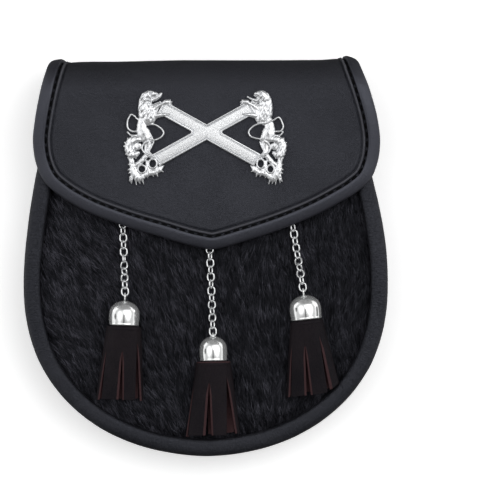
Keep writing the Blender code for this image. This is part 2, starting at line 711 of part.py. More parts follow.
def make_tassel(name, frame, cap_radius, length, left, right, rise, drop):
    """A roll of leather in the cap, and below it strips that spread out and lie down."""
    head = cap_radius * CAP_PROFILE[2][0] - CAP_WALL - GAP

    def ring(share, inward, slit):
        """Two points a strip, at a share of the skirt's length, moved in by inward."""
        wide = [(1 - share) * SKIRT_TOP_SHARE * cap_radius + share * end for end in (left, right)]
        deep = (1 - share) * SKIRT_TOP_HALF_DEPTH + share * SKIRT_END_HALF_DEPTH
        points = []
        for strip in range(STRIPS):
            for edge in (slit, 1 - slit):
                turn = 2 * math.pi * (strip + edge) / STRIPS + math.pi / 2
                side = wide[0] if math.cos(turn) < 0 else wide[1]
                x, z = (side - inward) * math.cos(turn), (deep - inward) * math.sin(turn)
                y = -SKIRT_START - share * (length - SKIRT_START - rise * max(0.0, math.cos(turn)) ** 3)
                points.append(frame @ Vector((x, y, z - drop * share)))
        return points

    def round_ring(radius, y):
        points = []
        for strip in range(STRIPS):
            for edge in (SLIT_TOP, 1 - SLIT_TOP):
                turn = 2 * math.pi * (strip + edge) / STRIPS + math.pi / 2
                points.append(frame @ Vector((radius * math.cos(turn), y, radius * math.sin(turn))))
        return points

    slit_share = SLIT_START / length
    count = 2 * STRIPS
    outer = [round_ring(head, HEAD_LENGTH), round_ring(head, -HEAD_SHOULDER)]
    outer += [ring(0.0, 0.0, SLIT_TOP), ring(slit_share, 0.0, SLIT_TOP)]
    vertices = [p for r in outer for p in r] + ring(slit_share, STRIP_THICKNESS, SLIT_TOP)
    faces = [list(range(count))]
    for row in range(3):
        for i in range(count):
            a, b = row * count + i, row * count + (i + 1) % count
            faces.append([a, b, b + count, a + count])
    outer_end, inner_end = ring(1.0, 0.0, SLIT_END), ring(1.0, STRIP_THICKNESS, SLIT_END)
    rim, hub = 3 * count, 4 * count
    faces.append([hub + i for i in range(count)])
    for strip in range(STRIPS):
        i, j, k = 2 * strip, 2 * strip + 1, (2 * strip + 2) % count
        faces.append([rim + j, rim + k, hub + k, hub + j])
        corners = [rim + i, rim + j, hub + j, hub + i]
        start = len(vertices)
        vertices += [outer_end[i], outer_end[j], inner_end[j], inner_end[i]]
        for side in range(4):
            after = (side + 1) % 4
            faces.append([corners[side], corners[after], start + after, start + side])
        faces.append([start + side for side in range(4)])
    add_piece("tassel_" + name, [(vertices, faces)], "tassel_leather")


def make_pendants():
    for name, x, y, lean, radius, height, links, length, left, right, rise in PENDANTS:
        bed = fur_height(x, y) + GAP
        frame = pendant_frame(x, y, lean, bed + radius)
        bearing = make_cap(name, frame, radius, height)
        heading = (frame.to_3x3() @ Vector((0, 1, 0))).normalized()
        end = frame @ Vector((0.0, -length, 0.0))
        drop = end.z - (fur_height(end.x, end.y) + GAP + SKIRT_END_HALF_DEPTH)
        make_tassel(name, frame, radius, length, left, right, rise, drop)
        anchor = make_chain(name, chain_line(bearing, heading), links)
        make_anchor(name, anchor, heading)


def build():
    clear_scene()
    make_pouch()
    make_flap()
    make_closure_stud()
    make_belt_loops()
    make_badge()
    make_pendants()


build()
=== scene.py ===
"""Dresses a sporran pouch: its leathers and seams, calf-hair front, cast badge, chains and tassels.

It lies on its back. X runs to the right across its front, Y up towards the fold of the flap,
and +Z out of the front. Tables are in millimetres; everything that is built is in metres.
"""

import math

import bpy
import numpy as np
from mathutils import Matrix, Vector


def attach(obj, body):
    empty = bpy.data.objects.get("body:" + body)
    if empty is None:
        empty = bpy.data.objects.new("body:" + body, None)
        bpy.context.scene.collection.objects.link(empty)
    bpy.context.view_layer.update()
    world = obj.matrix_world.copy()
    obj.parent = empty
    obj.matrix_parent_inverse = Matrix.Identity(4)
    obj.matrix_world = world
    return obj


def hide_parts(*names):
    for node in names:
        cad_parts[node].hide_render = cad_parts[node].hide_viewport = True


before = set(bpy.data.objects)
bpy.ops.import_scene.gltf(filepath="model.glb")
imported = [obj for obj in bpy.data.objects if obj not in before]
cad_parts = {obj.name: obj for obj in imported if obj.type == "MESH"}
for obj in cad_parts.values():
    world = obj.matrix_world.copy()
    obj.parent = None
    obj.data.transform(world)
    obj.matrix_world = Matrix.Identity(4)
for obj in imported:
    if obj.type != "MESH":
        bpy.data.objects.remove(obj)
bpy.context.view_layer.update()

MM = 0.001
FINE_STEPS = 401
MERGE = 0.01  # points nearer to each other than this are one

# ---------------------------------------------------------------- sizes, near to those of the solids

BODY_OUTLINE = (  # y, half_width
    (88.0, 74.8),
    (64.0, 82.6),
    (43.0, 87.3),
    (20.0, 91.8),
    (-3.0, 94.5),
    (-20.0, 94.7),
    (-38.0, 92.3),
    (-56.5, 85.75),
    (-73.0, 74.4),
    (-88.0, 56.7),
    (-98.2, 34.8),
    (-102.9, 13.5),
)
BODY_BOTTOM = -103.8
BODY_LEAN = (10.0, 41.0, 0.9)  # from where, to where it grows, and how far to the left the top stands
RIM_TOP_Y = 70.0
WALL = 2.2
FUR_BASE = 29.0
FUR_INSET = 9.4
FUR_RISE = 2.6
FUR_CENTRE_Y = -12.0

FLAP_TOP_SHEET = 40.0
FOLD_Y = 83.6
FOLD_RADIUS = 17.3
FOLD_END = FOLD_Y + math.pi * FOLD_RADIUS  # how far down the cut leather the fold ends
FLAP_TAIL = 11.0
FLAP_EDGE_LEFT = (  # x, s from the fold's top to the corner and along the V
    (-81.0, 109.0),
    (-83.1, 98.5),
    (-86.3, 84.6),
    (-88.6, 72.1),
    (-89.8, 59.6),
    (-87.9, 47.5),
    (-83.6, 38.6),
    (-75.4, 31.3),
    (-65.0, 25.0),
    (-44.2, 16.6),
    (-23.4, 10.3),
    (-3.5, 4.8),
)
FLAP_TIP = (3.4, 3.7)
FLAP_EDGE_RIGHT = (
    (10.2, 5.0),
    (18.2, 7.35),
    (39.0, 14.1),
    (59.8, 22.8),
    (70.2, 28.4),
    (78.6, 33.6),
    (85.4, 39.8),
    (89.2, 48.5),
    (90.7, 59.6),
    (89.2, 72.1),
    (85.8, 84.6),
    (81.1, 98.5),
    (78.8, 109.0),
)
FLAP_TAIL_HALF_WIDTH = 73.0
FLAP_HALF_WIDTH = 88.0
FLAP_DROOP = 3.6
FLAP_DROOP_LENGTH = 36.0
FOLD_LIFTS = (  # x, how much further up the fold lies there
    (-80.0, -0.3),
    (-72.0, -1.0),
    (-64.0, -0.5),
    (-47.0, -0.5),
    (-31.0, 0.0),
    (-14.0, 0.5),
    (20.0, 0.57),
    (36.0, 0.57),
    (60.0, 0.55),
    (69.0, 1.2),
    (78.0, 0.8),
)
FOLD_LIFT_FROM, FOLD_LIFT_OVER = 62.0, 30.0  # the Y where that begins, and over how much it grows

BADGE_CENTRE = (0.84, 64.7)
SALTIRE_SHIFT = (-0.3, -0.05)
INNER_TIP = (0.8, 0.45)  # how far the fillet between two arms reaches, and its half width
UPPER_ARM = 27.0
LOWER_ARM = 30.0
BAR_WIDTH = 7.1
BAR_ANGLE = math.radians(29.0)

GAP = 0.3
LINK_HALF_LENGTH = 2.2
LINK_HALF_WIDTH = 1.72
LINK_WIRE = 0.5
LINK_PITCH = 3.62
LINK_WIRE_SHOWN = 0.46
LINK_LIE = (-12.0, 7.0)  # how far a link is rolled over, in degrees, and how unevenly
LINK_TIP = 68.0  # how much further every second one is
CHAIN_LEVEL = 3.0
CHAIN_FALL = 17.0
CHAIN_REACH = 65.0

PENDANTS = (
    # name, x, y, its lean and its chain's in degrees, cap's radius and height, how far its eye is sunk,
    # links, tassel's length, how far its end reaches to the left and right, how much its right side rises
    ("left", -42.4, -35.6, -2.0, 2.0, 8.0, 13.0, -0.25, 13, 39.4, 13.8, 11.7, 0.6),
    ("middle", 4.1, -54.0, 1.2, 2.2, 7.3, 13.0, 2.1, 16, 39.2, 15.6, 13.2, 1.0),
    ("right", 52.4, -32.6, 6.6, 9.3, 8.3, 13.0, 0.3, 13, 39.2, 15.6, 13.2, 4.4),
)
EYE_RADIUS = 1.7
EYE_WIRE = 0.48
SKIRT_TOP_HALF_DEPTH = 6.6
SKIRT_END_HALF_DEPTH = 3.6
SKIRT_START = 1.0
SKIRT_TOP_SHARES = {"left": 1.16, "middle": 1.27, "right": 1.05}  # of the cap's radius
SKIRT_SLITS = {  # turn in degrees, half width at the end in degrees, share of the skirt above it
    "left": (
        (41, 10.6, 0.18), (92, 4.8, 0.30), (145.5, 4.3, 0.32), (190, 4, 0.2), (238, 4, 0.2), (285, 4, 0.2),
        (335, 4, 0.2),
    ),
    "middle": (
        (47.5, 14.8, 0.20), (103.5, 6.5, 0.24), (162, 5, 0.32), (203, 4, 0.2), (250, 5, 0.2), (292, 4, 0.2),
        (338, 4, 0.2),
    ),
    "right": (
        (54.5, 4.7, 0.22), (103, 4.4, 0.28), (150, 4.8, 0.30), (196, 4, 0.2), (242, 4, 0.2), (288, 4, 0.2),
        (338, 4, 0.2),
    ),
}

# ---------------------------------------------------------------- curves


def run_of(curve):
    """How far along a curve each of its points is."""
    return np.r_[0, np.cumsum(np.linalg.norm(np.diff(curve, axis=0), axis=1))]


def spot_on(curve, along, distance):
    """The place so far along a curve, or one for each distance; its points are at the given runs."""
    return np.stack([np.interp(distance, along, axis) for axis in curve.T], axis=-1)


def even_steps(curve, count):
    along = run_of(curve)
    return spot_on(curve, along, np.linspace(0, along[-1], count))


def eased(share):
    """A share kept between 0 and 1, with a soft start and end."""
    share = np.clip(share, 0.0, 1.0)
    return share * share * (3 - 2 * share)


def smooth_path(points, count=FINE_STEPS):
    """Points at even steps along a smooth curve through the given points."""
    points = np.asarray(points, float)
    knots = run_of(points)
    slopes = np.gradient(points, knots, axis=0)
    fine = np.linspace(0, knots[-1], 4 * FINE_STEPS)
    span = np.clip(np.searchsorted(knots, fine, side="right") - 1, 0, len(points) - 2)
    width = (knots[span + 1] - knots[span])[:, None]
    t = (fine[:, None] - knots[span][:, None]) / width
    curve = (
        (2 * t**3 - 3 * t**2 + 1) * points[span]
        + (t**3 - 2 * t**2 + t) * width * slopes[span]
        + (3 * t**2 - 2 * t**3) * points[span + 1]
        + (t**3 - t**2) * width * slopes[span + 1]
    )
    return even_steps(curve, count)


def shifted_in(path, inset):
    """A plane path moved to its left by inset."""
    run = np.gradient(path, axis=0)
    run /= np.linalg.norm(run, axis=1)[:, None]
    return path + inset * np.stack([-run[:, 1], run[:, 0]], axis=1)


def body_path(inset, top_y, count):
    """The pouch's outline moved in by inset, from its left top round the bottom to its right top."""
    left = [(-half, y) for y, half in BODY_OUTLINE]
    right = [(half, y) for y, half in reversed(BODY_OUTLINE)]
    outline = smooth_path(left + [(0.0, BODY_BOTTOM)] + right, 1201)
    start, end, lean = BODY_LEAN
    outline[:, 0] -= lean * np.clip((outline[:, 1] - start) / (end - start), 0.0, 1.0) ** 1.3
    fine = shifted_in(outline, inset)
    return even_steps(fine[fine[:, 1] <= top_y], count)


def flap_path(count=FINE_STEPS):
    """The flap's edge on the cut leather, from the end of its left tail round the V to the right."""
    tail = [(FLAP_TAIL_HALF_WIDTH, FOLD_END + FLAP_TAIL), (FLAP_TAIL_HALF_WIDTH + 1.2, FOLD_END - 4.0)]
    left = [(-x, s) for x, s in tail]
    return smooth_path(left + list(FLAP_EDGE_LEFT) + [FLAP_TIP] + list(FLAP_EDGE_RIGHT) + tail[::-1], count)


def folded(flat):
    """Where rows of x, s and lift on the cut leather lie once the flap is folded."""
    x, s, lift = np.asarray(flat, float).T
    turn = np.clip((s - FOLD_Y) / FOLD_RADIUS, 0.0, math.pi)
    reach = FOLD_RADIUS + lift
    beyond = np.maximum(0.0, s - FOLD_END)
    sag = FLAP_DROOP * eased((FOLD_Y - s) / FLAP_DROOP_LENGTH) * (np.abs(x) / FLAP_HALF_WIDTH) ** 3
    y = np.minimum(s, FOLD_Y) + reach * np.sin(turn) - beyond
    y += np.interp(x, *zip(*FOLD_LIFTS)) * np.clip((y - FOLD_LIFT_FROM) / FOLD_LIFT_OVER, 0.0, 1.0)
    z = FLAP_TOP_SHEET - FOLD_RADIUS + reach * np.cos(turn) - sag
    return np.stack([x, y, z], axis=1)


FUR_EDGE = body_path(FUR_INSET, RIM_TOP_Y, 401)
FUR_TURNS = np.unwrap(np.arctan2(FUR_EDGE[:, 1] - FUR_CENTRE_Y, FUR_EDGE[:, 0]))
FUR_REACH = np.linalg.norm(FUR_EDGE - np.array([0.0, FUR_CENTRE_Y]), axis=1)


def fur_share(x, y):
    """How far out a place on the front is: 0 in its middle and 1 at its edge."""
    x, y = np.asarray(x, float), np.asarray(y, float)
    turn = np.arctan2(y - FUR_CENTRE_Y, x)
    turn = np.where(turn > FUR_TURNS[-1], turn - 2 * math.pi, turn)
    turn = np.where(turn < FUR_TURNS[0], turn + 2 * math.pi, turn)
    reach = np.interp(turn, FUR_TURNS, FUR_REACH)
    across_top = (RIM_TOP_Y - FUR_CENTRE_Y) / np.maximum(1e-6, np.sin(turn))
    reach = np.where((turn > FUR_TURNS[-1]) | (turn < FUR_TURNS[0]), across_top, reach)
    return np.hypot(x, y - FUR_CENTRE_Y) / reach


def fur_height(x, y):
    """Top of the fur panel at a place on it, crowned in the middle."""
    return FUR_BASE + WALL + FUR_RISE * (1 - np.minimum(1.0, fur_share(x, y)) ** 2)


# ---------------------------------------------------------------- working on a piece


def let_go():
    """Leaves nothing selected, so that the next operator acts on the new piece alone."""
    if bpy.context.mode != "OBJECT":
        bpy.ops.object.mode_set(mode="OBJECT")
    bpy.ops.object.select_all(action="DESELECT")


def begun(add, **settings):
    """The new piece that an operator adds."""
    let_go()
    add(**settings)
    return bpy.context.object


def pick(piece, *others):
    """Selects the pieces, and makes the first of them the active one."""
    let_go()
    for each in (piece, *others):
        each.select_set(True)
    bpy.context.view_layer.objects.active = piece


def points_of(piece):
    """Its points in mm."""
    flat = np.empty(3 * len(piece.data.vertices))
    piece.data.vertices.foreach_get("co", flat)
    return flat.reshape(-1, 3) / MM


def move_points(piece, points):
    piece.data.vertices.foreach_set("co", (np.asarray(points) * MM).ravel())
    piece.data.update()


def mark(piece, name, values):
    """Keeps a number on each of the piece's points, for its material."""
    layer = piece.data.attributes.new(name, "FLOAT", "POINT")
    layer.data.foreach_set("value", np.asarray(values, np.float32))


def open_up():
    """Puts the active piece in edit mode, with all of it selected."""
    bpy.ops.object.mode_set(mode="EDIT")
    bpy.ops.mesh.select_all(action="SELECT")


def finish_with(piece, kind, **settings):
    """Puts a modifier on the piece and applies it."""
    pick(piece)
    modifier = piece.modifiers.new(kind.title(), kind)
    for key, value in settings.items():
        setattr(modifier, key, value)
    bpy.ops.object.modifier_apply(modifier=modifier.name)


def round_edges(piece, width, degrees):
    """Rounds the edges that are sharper than so many degrees."""
    settings = {"segments": 2, "limit_method": "ANGLE", "angle_limit": math.radians(degrees)}
    finish_with(piece, "BEVEL", width=width * MM, **settings)


def join(name, pieces):
    """One piece out of several, which keep their own materials."""
    pick(*pieces)
    if len(pieces) > 1:
        bpy.ops.object.join()
    pieces[0].name = pieces[0].data.name = name
    return pieces[0]


def tidy_shell(piece):
    """Merges doubled points and turns every face outwards."""
    pick(piece)
    open_up()
    bpy.ops.mesh.remove_doubles(threshold=MERGE * MM)
    bpy.ops.mesh.normals_make_consistent(inside=False)
    bpy.ops.object.mode_set(mode="OBJECT")


def shade(piece, degrees=40.0):
    pick(piece)
    bpy.ops.object.shade_smooth_by_angle(angle=math.radians(degrees))


def wear(piece, slot, *materials, replaces=(), degrees=40.0):
    """Gives the finished piece its materials and its place on the pouch."""
    piece.data.name = piece.name
    while len(piece.data.materials) < len(materials):
        piece.data.materials.append(None)
    for index, material in enumerate(materials):
        piece.data.materials[index] = material
    shade(piece, degrees)
    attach(piece, "root")
    if replaces:
        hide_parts(*replaces)
    return piece


def lay_spline(curve, points, closed=False):
    """Puts one run of points, rows of x and y in mm, in the place of the curve's own."""
    curve.data.splines.clear()
    spline = curve.data.splines.new("POLY")
    spline.points.add(len(points) - 1)
    for point, (x, y) in zip(spline.points, points):
        point.co = (x * MM, y * MM, 0.0, 1.0)
    spline.use_cyclic_u = closed


def swept(name, path, section, closed=False):
    """A length of a section, rows of inset and height, drawn along a plane path."""
    die = begun(bpy.ops.curve.primitive_bezier_circle_add)
    lay_spline(die, [(-inset, height) for inset, height in section], closed=True)
    piece = begun(bpy.ops.curve.primitive_nurbs_path_add)
    piece.name = name
    lay_spline(piece, path, closed)
    piece.data.dimensions = "2D"
    piece.data.bevel_mode = "OBJECT"
    piece.data.bevel_object = die
    piece.data.use_fill_caps = not closed
    pick(piece)
    bpy.ops.object.convert(target="MESH")
    bpy.data.objects.remove(die)
    tidy_shell(piece)
    return piece


def round_section(rows, count):
    """A closed, rounded section through rows of inset and height."""
    rows = list(rows)
    ring = smooth_path(rows[-2:] + rows + rows[:3], 12 * FINE_STEPS)
    start = np.argmin(np.linalg.norm(ring[: len(ring) // 2] - rows[0], axis=1))
    stop = len(ring) // 2 + np.argmin(np.linalg.norm(ring[len(ring) // 2 :] - rows[0], axis=1))
    return even_steps(ring[start : stop + 1], count + 1)[:-1]


def mark_run(piece, path):
    """Keeps how far along the path each point of a roll is, and how far across it, in metres."""
    along = run_of(path)
    points = points_of(piece)
    nearest = np.concatenate([
        np.argmin(((block[:, None, :2] - path[None]) ** 2).sum(axis=2), axis=1)
        for block in np.array_split(points, max(1, len(points) // 2000))
    ])
    mark(piece, "along", along[nearest] * MM)
    mark(piece, "across", np.linalg.norm(points[:, :2] - path[nearest], axis=1) * MM)


def copy_of(pattern):
    """A copy of a modelled piece, with its own mesh."""
    copy = pattern.copy()
    copy.data = pattern.data.copy()
    bpy.context.scene.collection.objects.link(copy)
    return copy


def copies_of(name, pattern, places):
    """Copies of a modelled piece at rows of 4 x 4 matrices; all one piece."""
    made = [copy_of(pattern) for _ in places]
    for copy, place in zip(made, places):
        copy.data.transform(place)
    bpy.data.objects.remove(pattern)
    return join(name, made)


def facing(place, ahead, up):
    """A frame at a place, with X ahead and Z up."""
    ahead, up = Vector(ahead).normalized(), Vector(up)
    across = up.cross(ahead).normalized()
    up = ahead.cross(across)
    turn = Matrix((ahead, across, up)).transposed().to_4x4()
    return Matrix.Translation(Vector(place)) @ turn


# ---------------------------------------------------------------- shader nodes


def put(tree, kind, settings=None, **sockets):
    """Places a node, and sets or links its inputs by name; in_0 and so on name them by number."""
    node = tree.nodes.new("ShaderNode" + kind)
    for key, value in (settings or {}).items():
        setattr(node, key, value)
    for label, value in sockets.items():
        key = int(label[3:]) if label.startswith("in_") else label.replace("_", " ")
        if isinstance(value, bpy.types.NodeSocket):
            tree.links.new(value, node.inputs[key])
        else:
            node.inputs[key].default_value = value
    return node


def sums(tree, operation, first, second=0.0):
    return put(tree, "Math", {"operation": operation}, in_0=first, in_1=second).outputs[0]


def weighed(tree, first, weight, second, other):
    """Two values, each times its weight, added up."""
    return sums(tree, "ADD", sums(tree, "MULTIPLY", first, weight), sums(tree, "MULTIPLY", second, other))


def spread(tree, value, low, high, to_low=0.0, to_high=1.0):
    """A value's stretch from low to high laid smoothly onto another."""
    node = put(tree, "MapRange", {"interpolation_type": "SMOOTHSTEP"}, Value=value)
    for label, number in (("From Min", low), ("From Max", high), ("To Min", to_low), ("To Max", to_high)):
        node.inputs[label].default_value = number
    return node.outputs["Result"]


def spread_evenly(tree, value, low, high):
    """A value's stretch from low to high laid straight onto 0 to 1."""
    return put(tree, "MapRange", in_0=value, in_1=low, in_2=high).outputs["Result"]


def new_group(name, inputs, outputs):
    """A shader node group with named inputs and outputs, and the nodes it starts and ends with."""
    tree = bpy.data.node_groups.new(name, "ShaderNodeTree")
    for label, kind in inputs:
        tree.interface.new_socket(name=label, in_out="INPUT", socket_type="NodeSocket" + kind)
    for label, kind in outputs:
        tree.interface.new_socket(name=label, in_out="OUTPUT", socket_type="NodeSocket" + kind)
    return tree, tree.nodes.new("NodeGroupInput"), tree.nodes.new("NodeGroupOutput")


BLUE_SHINE = (0.80, 0.84, 1.0, 1.0)
# light end of a mask that is partly polish on raised edges and partly painted highlight; its low end is
# painted shade
WORN_AND_HIGHLIT_EDGE = (0.058, 0.058, 0.066)


def leather_grain_group():
    """Pebbled grain of a pebble's size in metres, with slow changes of tone."""
    tree, enter, leave = new_group(
        "leather_grain", (("Place", "Vector"), ("Pebble", "Float")), (("Height", "Float"), ("Tone", "Float"))
    )
    per_metre = sums(tree, "DIVIDE", 1.0, enter.outputs["Pebble"])
    place = put(tree, "VectorMath", {"operation": "SCALE"}, in_0=enter.outputs["Place"], Scale=per_metre)
    warp = put(tree, "TexNoise", Vector=place.outputs[0], Scale=0.7, Detail=2.0)
    bent = put(tree, "VectorMath", in_0=place.outputs[0], in_1=warp.outputs["Color"])
    cells = put(tree, "TexVoronoi", {"feature": "DISTANCE_TO_EDGE"}, Vector=bent.outputs[0], Scale=1.0)
    pebble = spread(tree, cells.outputs["Distance"], 0.0, 0.28)
    fine = put(tree, "TexNoise", Vector=place.outputs[0], Scale=2.6, Detail=4.0)
    height = weighed(tree, pebble, 0.62, fine.outputs[0], 0.5)
    slow = put(tree, "TexNoise", Vector=enter.outputs["Place"], Scale=38.0, Detail=3.0)
    flecks = put(tree, "TexNoise", Vector=place.outputs[0], Scale=1.1, Detail=1.0)
    mixed = weighed(tree, slow.outputs[0], 0.55, flecks.outputs[0], 0.45)
    tree.links.new(height, leave.inputs["Height"])
    tree.links.new(spread(tree, mixed, 0.36, 0.64), leave.inputs["Tone"])
    return tree


def roll_creases_group():
    """Fine creases across a roll, from how far along it and across it a place is, in metres."""
    tree, enter, leave = new_group(
        "roll_creases",
        (("Along", "Float"), ("Across", "Float"), ("Spacing", "Float")),
        (("Height", "Float"),),
    )
    along = sums(tree, "DIVIDE", enter.outputs["Along"], enter.outputs["Spacing"])
    across = sums(tree, "MULTIPLY", enter.outputs["Across"], 190.0)
    place = put(tree, "CombineXYZ", X=along, Y=across)
    creases = put(tree, "TexNoise", Vector=place.outputs[0], Scale=1.0, Detail=3.0, Roughness=0.6)
    ridged = sums(tree, "ABSOLUTE", sums(tree, "SUBTRACT", creases.outputs[0], 0.5))
    tree.links.new(spread(tree, ridged, 0.0, 0.14), leave.inputs["Height"])
    return tree


def cast_skin_group():
    """The soft unevenness of a casting, and its stipple."""
    tree, enter, leave = new_group(
        "cast_skin", (("Place", "Vector"), ("Dimple", "Float")), (("Height", "Float"), ("Stipple", "Float"))
    )
    per_metre = sums(tree, "DIVIDE", 1.0, enter.outputs["Dimple"])
    place = put(tree, "VectorMath", {"operation": "SCALE"}, in_0=enter.outputs["Place"], Scale=per_metre)
    waves = put(tree, "TexNoise", Vector=place.outputs[0], Scale=1.0, Detail=2.0)
    grains = put(tree, "TexNoise", Vector=place.outputs[0], Scale=2.0, Detail=4.0, Roughness=0.65)
    tree.links.new(waves.outputs[0], leave.inputs["Height"])
    tree.links.new(grains.outputs[0], leave.inputs["Stipple"])
    return tree


GRAIN = leather_grain_group()
CREASES = roll_creases_group()
CAST_SKIN = cast_skin_group()


def new_material(name, roughness, metallic=0.0, shine=0.5):
    material = bpy.data.materials.new(name)
    material.use_nodes = True
    tree = material.node_tree
    shader = tree.nodes["Principled BSDF"]
    shader.inputs["Roughness"].default_value = roughness
    shader.inputs["Metallic"].default_value = metallic
    shader.inputs["Specular IOR Level"].default_value = shine
    return material, tree, shader


def here(tree):
    return put(tree, "TexCoord").outputs["Object"]


def noted(tree, name):
    return put(tree, "Attribute", {"attribute_name": name}).outputs["Fac"]


def grouped(tree, group, **sockets):
    return put(tree, "Group", {"node_tree": group}, **sockets)


def colour_between(tree, share, first, second):
    node = put(tree, "Mix", {"data_type": "RGBA"}, Factor=share)
    for index, colour in ((6, first), (7, second)):
        if isinstance(colour, bpy.types.NodeSocket):
            tree.links.new(colour, node.inputs[index])
        else:
            node.inputs[index].default_value = (*colour, 1.0)
    return node.outputs[2]


def paint(tree, shader, share, first, second):
    """Gives the surface its colour, from the first to the second by a share."""
    tree.links.new(colour_between(tree, share, first, second), shader.inputs["Base Color"])


def raise_skin(tree, shader, height, distance, under=None):
    """Raises the surface by a height, on top of what raises it already."""
    bump = put(tree, "Bump", Height=height, Distance=distance * MM, Strength=1.0)
    if under:
        tree.links.new(under, bump.inputs["Normal"])
    tree.links.new(bump.outputs["Normal"], shader.inputs["Normal"])
    return bump.outputs["Normal"]


def leather(name, dark, light, roughness, shine, pebble, depth, creases=None, fold_shade=None):
    """Grained leather. A roll has creases of a spacing and depth; given two Y, painted shade darkens its
    colour from the one to the other, where a fold turns away from the light.
    """
    material, tree, shader = new_material(name, roughness, shine=shine)
    shader.inputs["Specular Tint"].default_value = BLUE_SHINE
    grain = grouped(tree, GRAIN, Place=here(tree), Pebble=pebble * MM)
    tone = shade = grain.outputs["Tone"]
    # painted shade: the colour darkens with rising Y between the two Y, standing in for the fold's falloff of
    # light
    if fold_shade:
        along_y = put(tree, "SeparateXYZ", Vector=here(tree)).outputs["Y"]
        shade = sums(tree, "MULTIPLY", tone, spread(tree, along_y, fold_shade[0] * MM, fold_shade[1] * MM, 1.0, 0.1))
    # towards the edge colour by the mark: polish and painted highlight on raised parts, painted shade in low
    # ones
    paint(tree, shader, noted(tree, "wear_and_painted_light"), colour_between(tree, shade, dark, light), WORN_AND_HIGHLIT_EDGE)
    rougher = spread(tree, tone, 0.0, 1.0, roughness - 0.04, roughness + 0.05)
    tree.links.new(rougher, shader.inputs["Roughness"])
    skin = raise_skin(tree, shader, grain.outputs["Height"], depth)
    if creases:
        spacing, crease_depth = creases
        run = {"Along": noted(tree, "along"), "Across": noted(tree, "across")}
        lines = grouped(tree, CREASES, Spacing=spacing * MM, **run)
        raise_skin(tree, shader, lines.outputs["Height"], crease_depth, under=skin)
    return material


def fibrous(name, roughness, shine, fineness, detail, dark, light, depth):
    """Matt leather whose fibres show."""
    material, tree, shader = new_material(name, roughness, shine=shine)
    fibres = put(tree, "TexNoise", Vector=here(tree), Scale=fineness, Detail=detail)
    paint(tree, shader, fibres.outputs[0], dark, light)
    raise_skin(tree, shader, fibres.outputs[0], depth)
    return material


def calf_hair():
    """Each hair has its own shade, partly painted sheen, and locks of them lie lighter or darker."""
    material, tree, shader = new_material("calf_hair", 0.42, shine=0.14)
    shader.inputs["Specular Tint"].default_value = BLUE_SHINE
    locks = put(tree, "TexNoise", Vector=here(tree), Scale=120.0, Detail=3.0)
    lighter = spread(tree, locks.outputs[0], 0.35, 0.7, 0.45, 1.0)
    share = sums(tree, "MULTIPLY", noted(tree, "hair_tone_and_painted_sheen"), lighter)
    paint(tree, shader, share, (0.0005, 0.0005, 0.0008), (0.078, 0.077, 0.095))
    return material


def thread():
    """Waxed thread with its twist."""
    material, tree, shader = new_material("waxed_thread", 0.55, shine=0.15)
    around = put(tree, "UVMap").outputs[0]
    twist = put(tree, "TexWave", {"bands_direction": "DIAGONAL"}, Vector=around, Scale=6.0)
    paint(tree, shader, twist.outputs["Fac"], (0.0008, 0.0008, 0.001), (0.003, 0.003, 0.004))
    raise_skin(tree, shader, twist.outputs["Fac"], 0.12)
    return material


def plated(name, colour, roughness, metallic, dimple, depth, stipple=0.0):
    """Polished plating over a casting or a wire; its stippled parts are rougher."""
    material, tree, shader = new_material(name, roughness, metallic)
    skin = grouped(tree, CAST_SKIN, Place=here(tree), Dimple=dimple * MM)
    dulled = tuple(0.88 * value for value in colour)
    paint(tree, shader, skin.outputs["Height"], dulled, colour)
    low, high = roughness * 0.8, roughness * 1.3
    tree.links.new(spread(tree, skin.outputs["Height"], 0.3, 0.7, low, high), shader.inputs["Roughness"])
    normal = raise_skin(tree, shader, skin.outputs["Height"], depth)
    if stipple:
        raise_skin(tree, shader, skin.outputs["Stipple"], stipple, under=normal)
    return material


# the flap's colour carries painted shade over its fold, darker from Y 70 to 98
FLAP_LEATHER = leather(
    "flap_leather", (0.0015, 0.0016, 0.0028), (0.0175, 0.0182, 0.0224), 0.46, 0.45, 0.80, 0.17,
    fold_shade=(70.0, 98.0),
)
ROLL_LEATHER = leather(
    "roll_leather", (0.0035, 0.0035, 0.0046), (0.0125, 0.0125, 0.0152), 0.43, 0.50, 0.70, 0.10, (1.3, 0.14)
)
# painted sheen: the binding is a lighter copy of the black leather, its extra lightness standing in for the
# light its smooth rolled band catches
LIT_BINDING_LEATHER = leather(
    "binding_leather_painted_sheen", (0.0140, 0.0140, 0.0180), (0.0210, 0.0210, 0.0260), 0.40, 0.80, 0.5, 0.04, (1.6, 0.04)
)
BODY_LEATHER = leather(
    "body_leather", (0.0055, 0.0055, 0.0070), (0.0105, 0.0105, 0.0125), 0.50, 0.50, 0.8, 0.10
)
TASSEL_GRAIN = leather(
    "tassel_grain_side", (0.0028, 0.0015, 0.0018), (0.0120, 0.0082, 0.0090), 0.60, 0.20, 0.60, 0.12
)
TASSEL_FLESH = fibrous(
    "tassel_flesh_side", 0.8, 0.12, 1500.0, 4.0, (0.020, 0.0085, 0.0095), (0.072, 0.038, 0.041), 0.08
)
CALF_HAIR = calf_hair()
HIDE = fibrous("hair_hide", 0.85, 0.1, 900.0, 2.0, (0.001, 0.001, 0.0014), (0.004, 0.004, 0.005), 0.15)
THREAD = thread()
CAST_CHROME = plated("cast_chrome", (0.84, 0.85, 0.87), 0.20, 0.75, 0.9, 0.05)
STIPPLED_CHROME = plated("stippled_chrome", (0.88, 0.89, 0.905), 0.28, 0.75, 0.9, 0.05, 0.22)
CAP_CHROME = plated("cap_chrome", (0.96, 0.97, 0.97), 0.03, 0.76, 2.4, 0.006)
CHAIN_NICKEL = plated("chain_nickel", (0.82, 0.83, 0.84), 0.16, 0.85, 0.8, 0.02)

# ---------------------------------------------------------------- the pouch

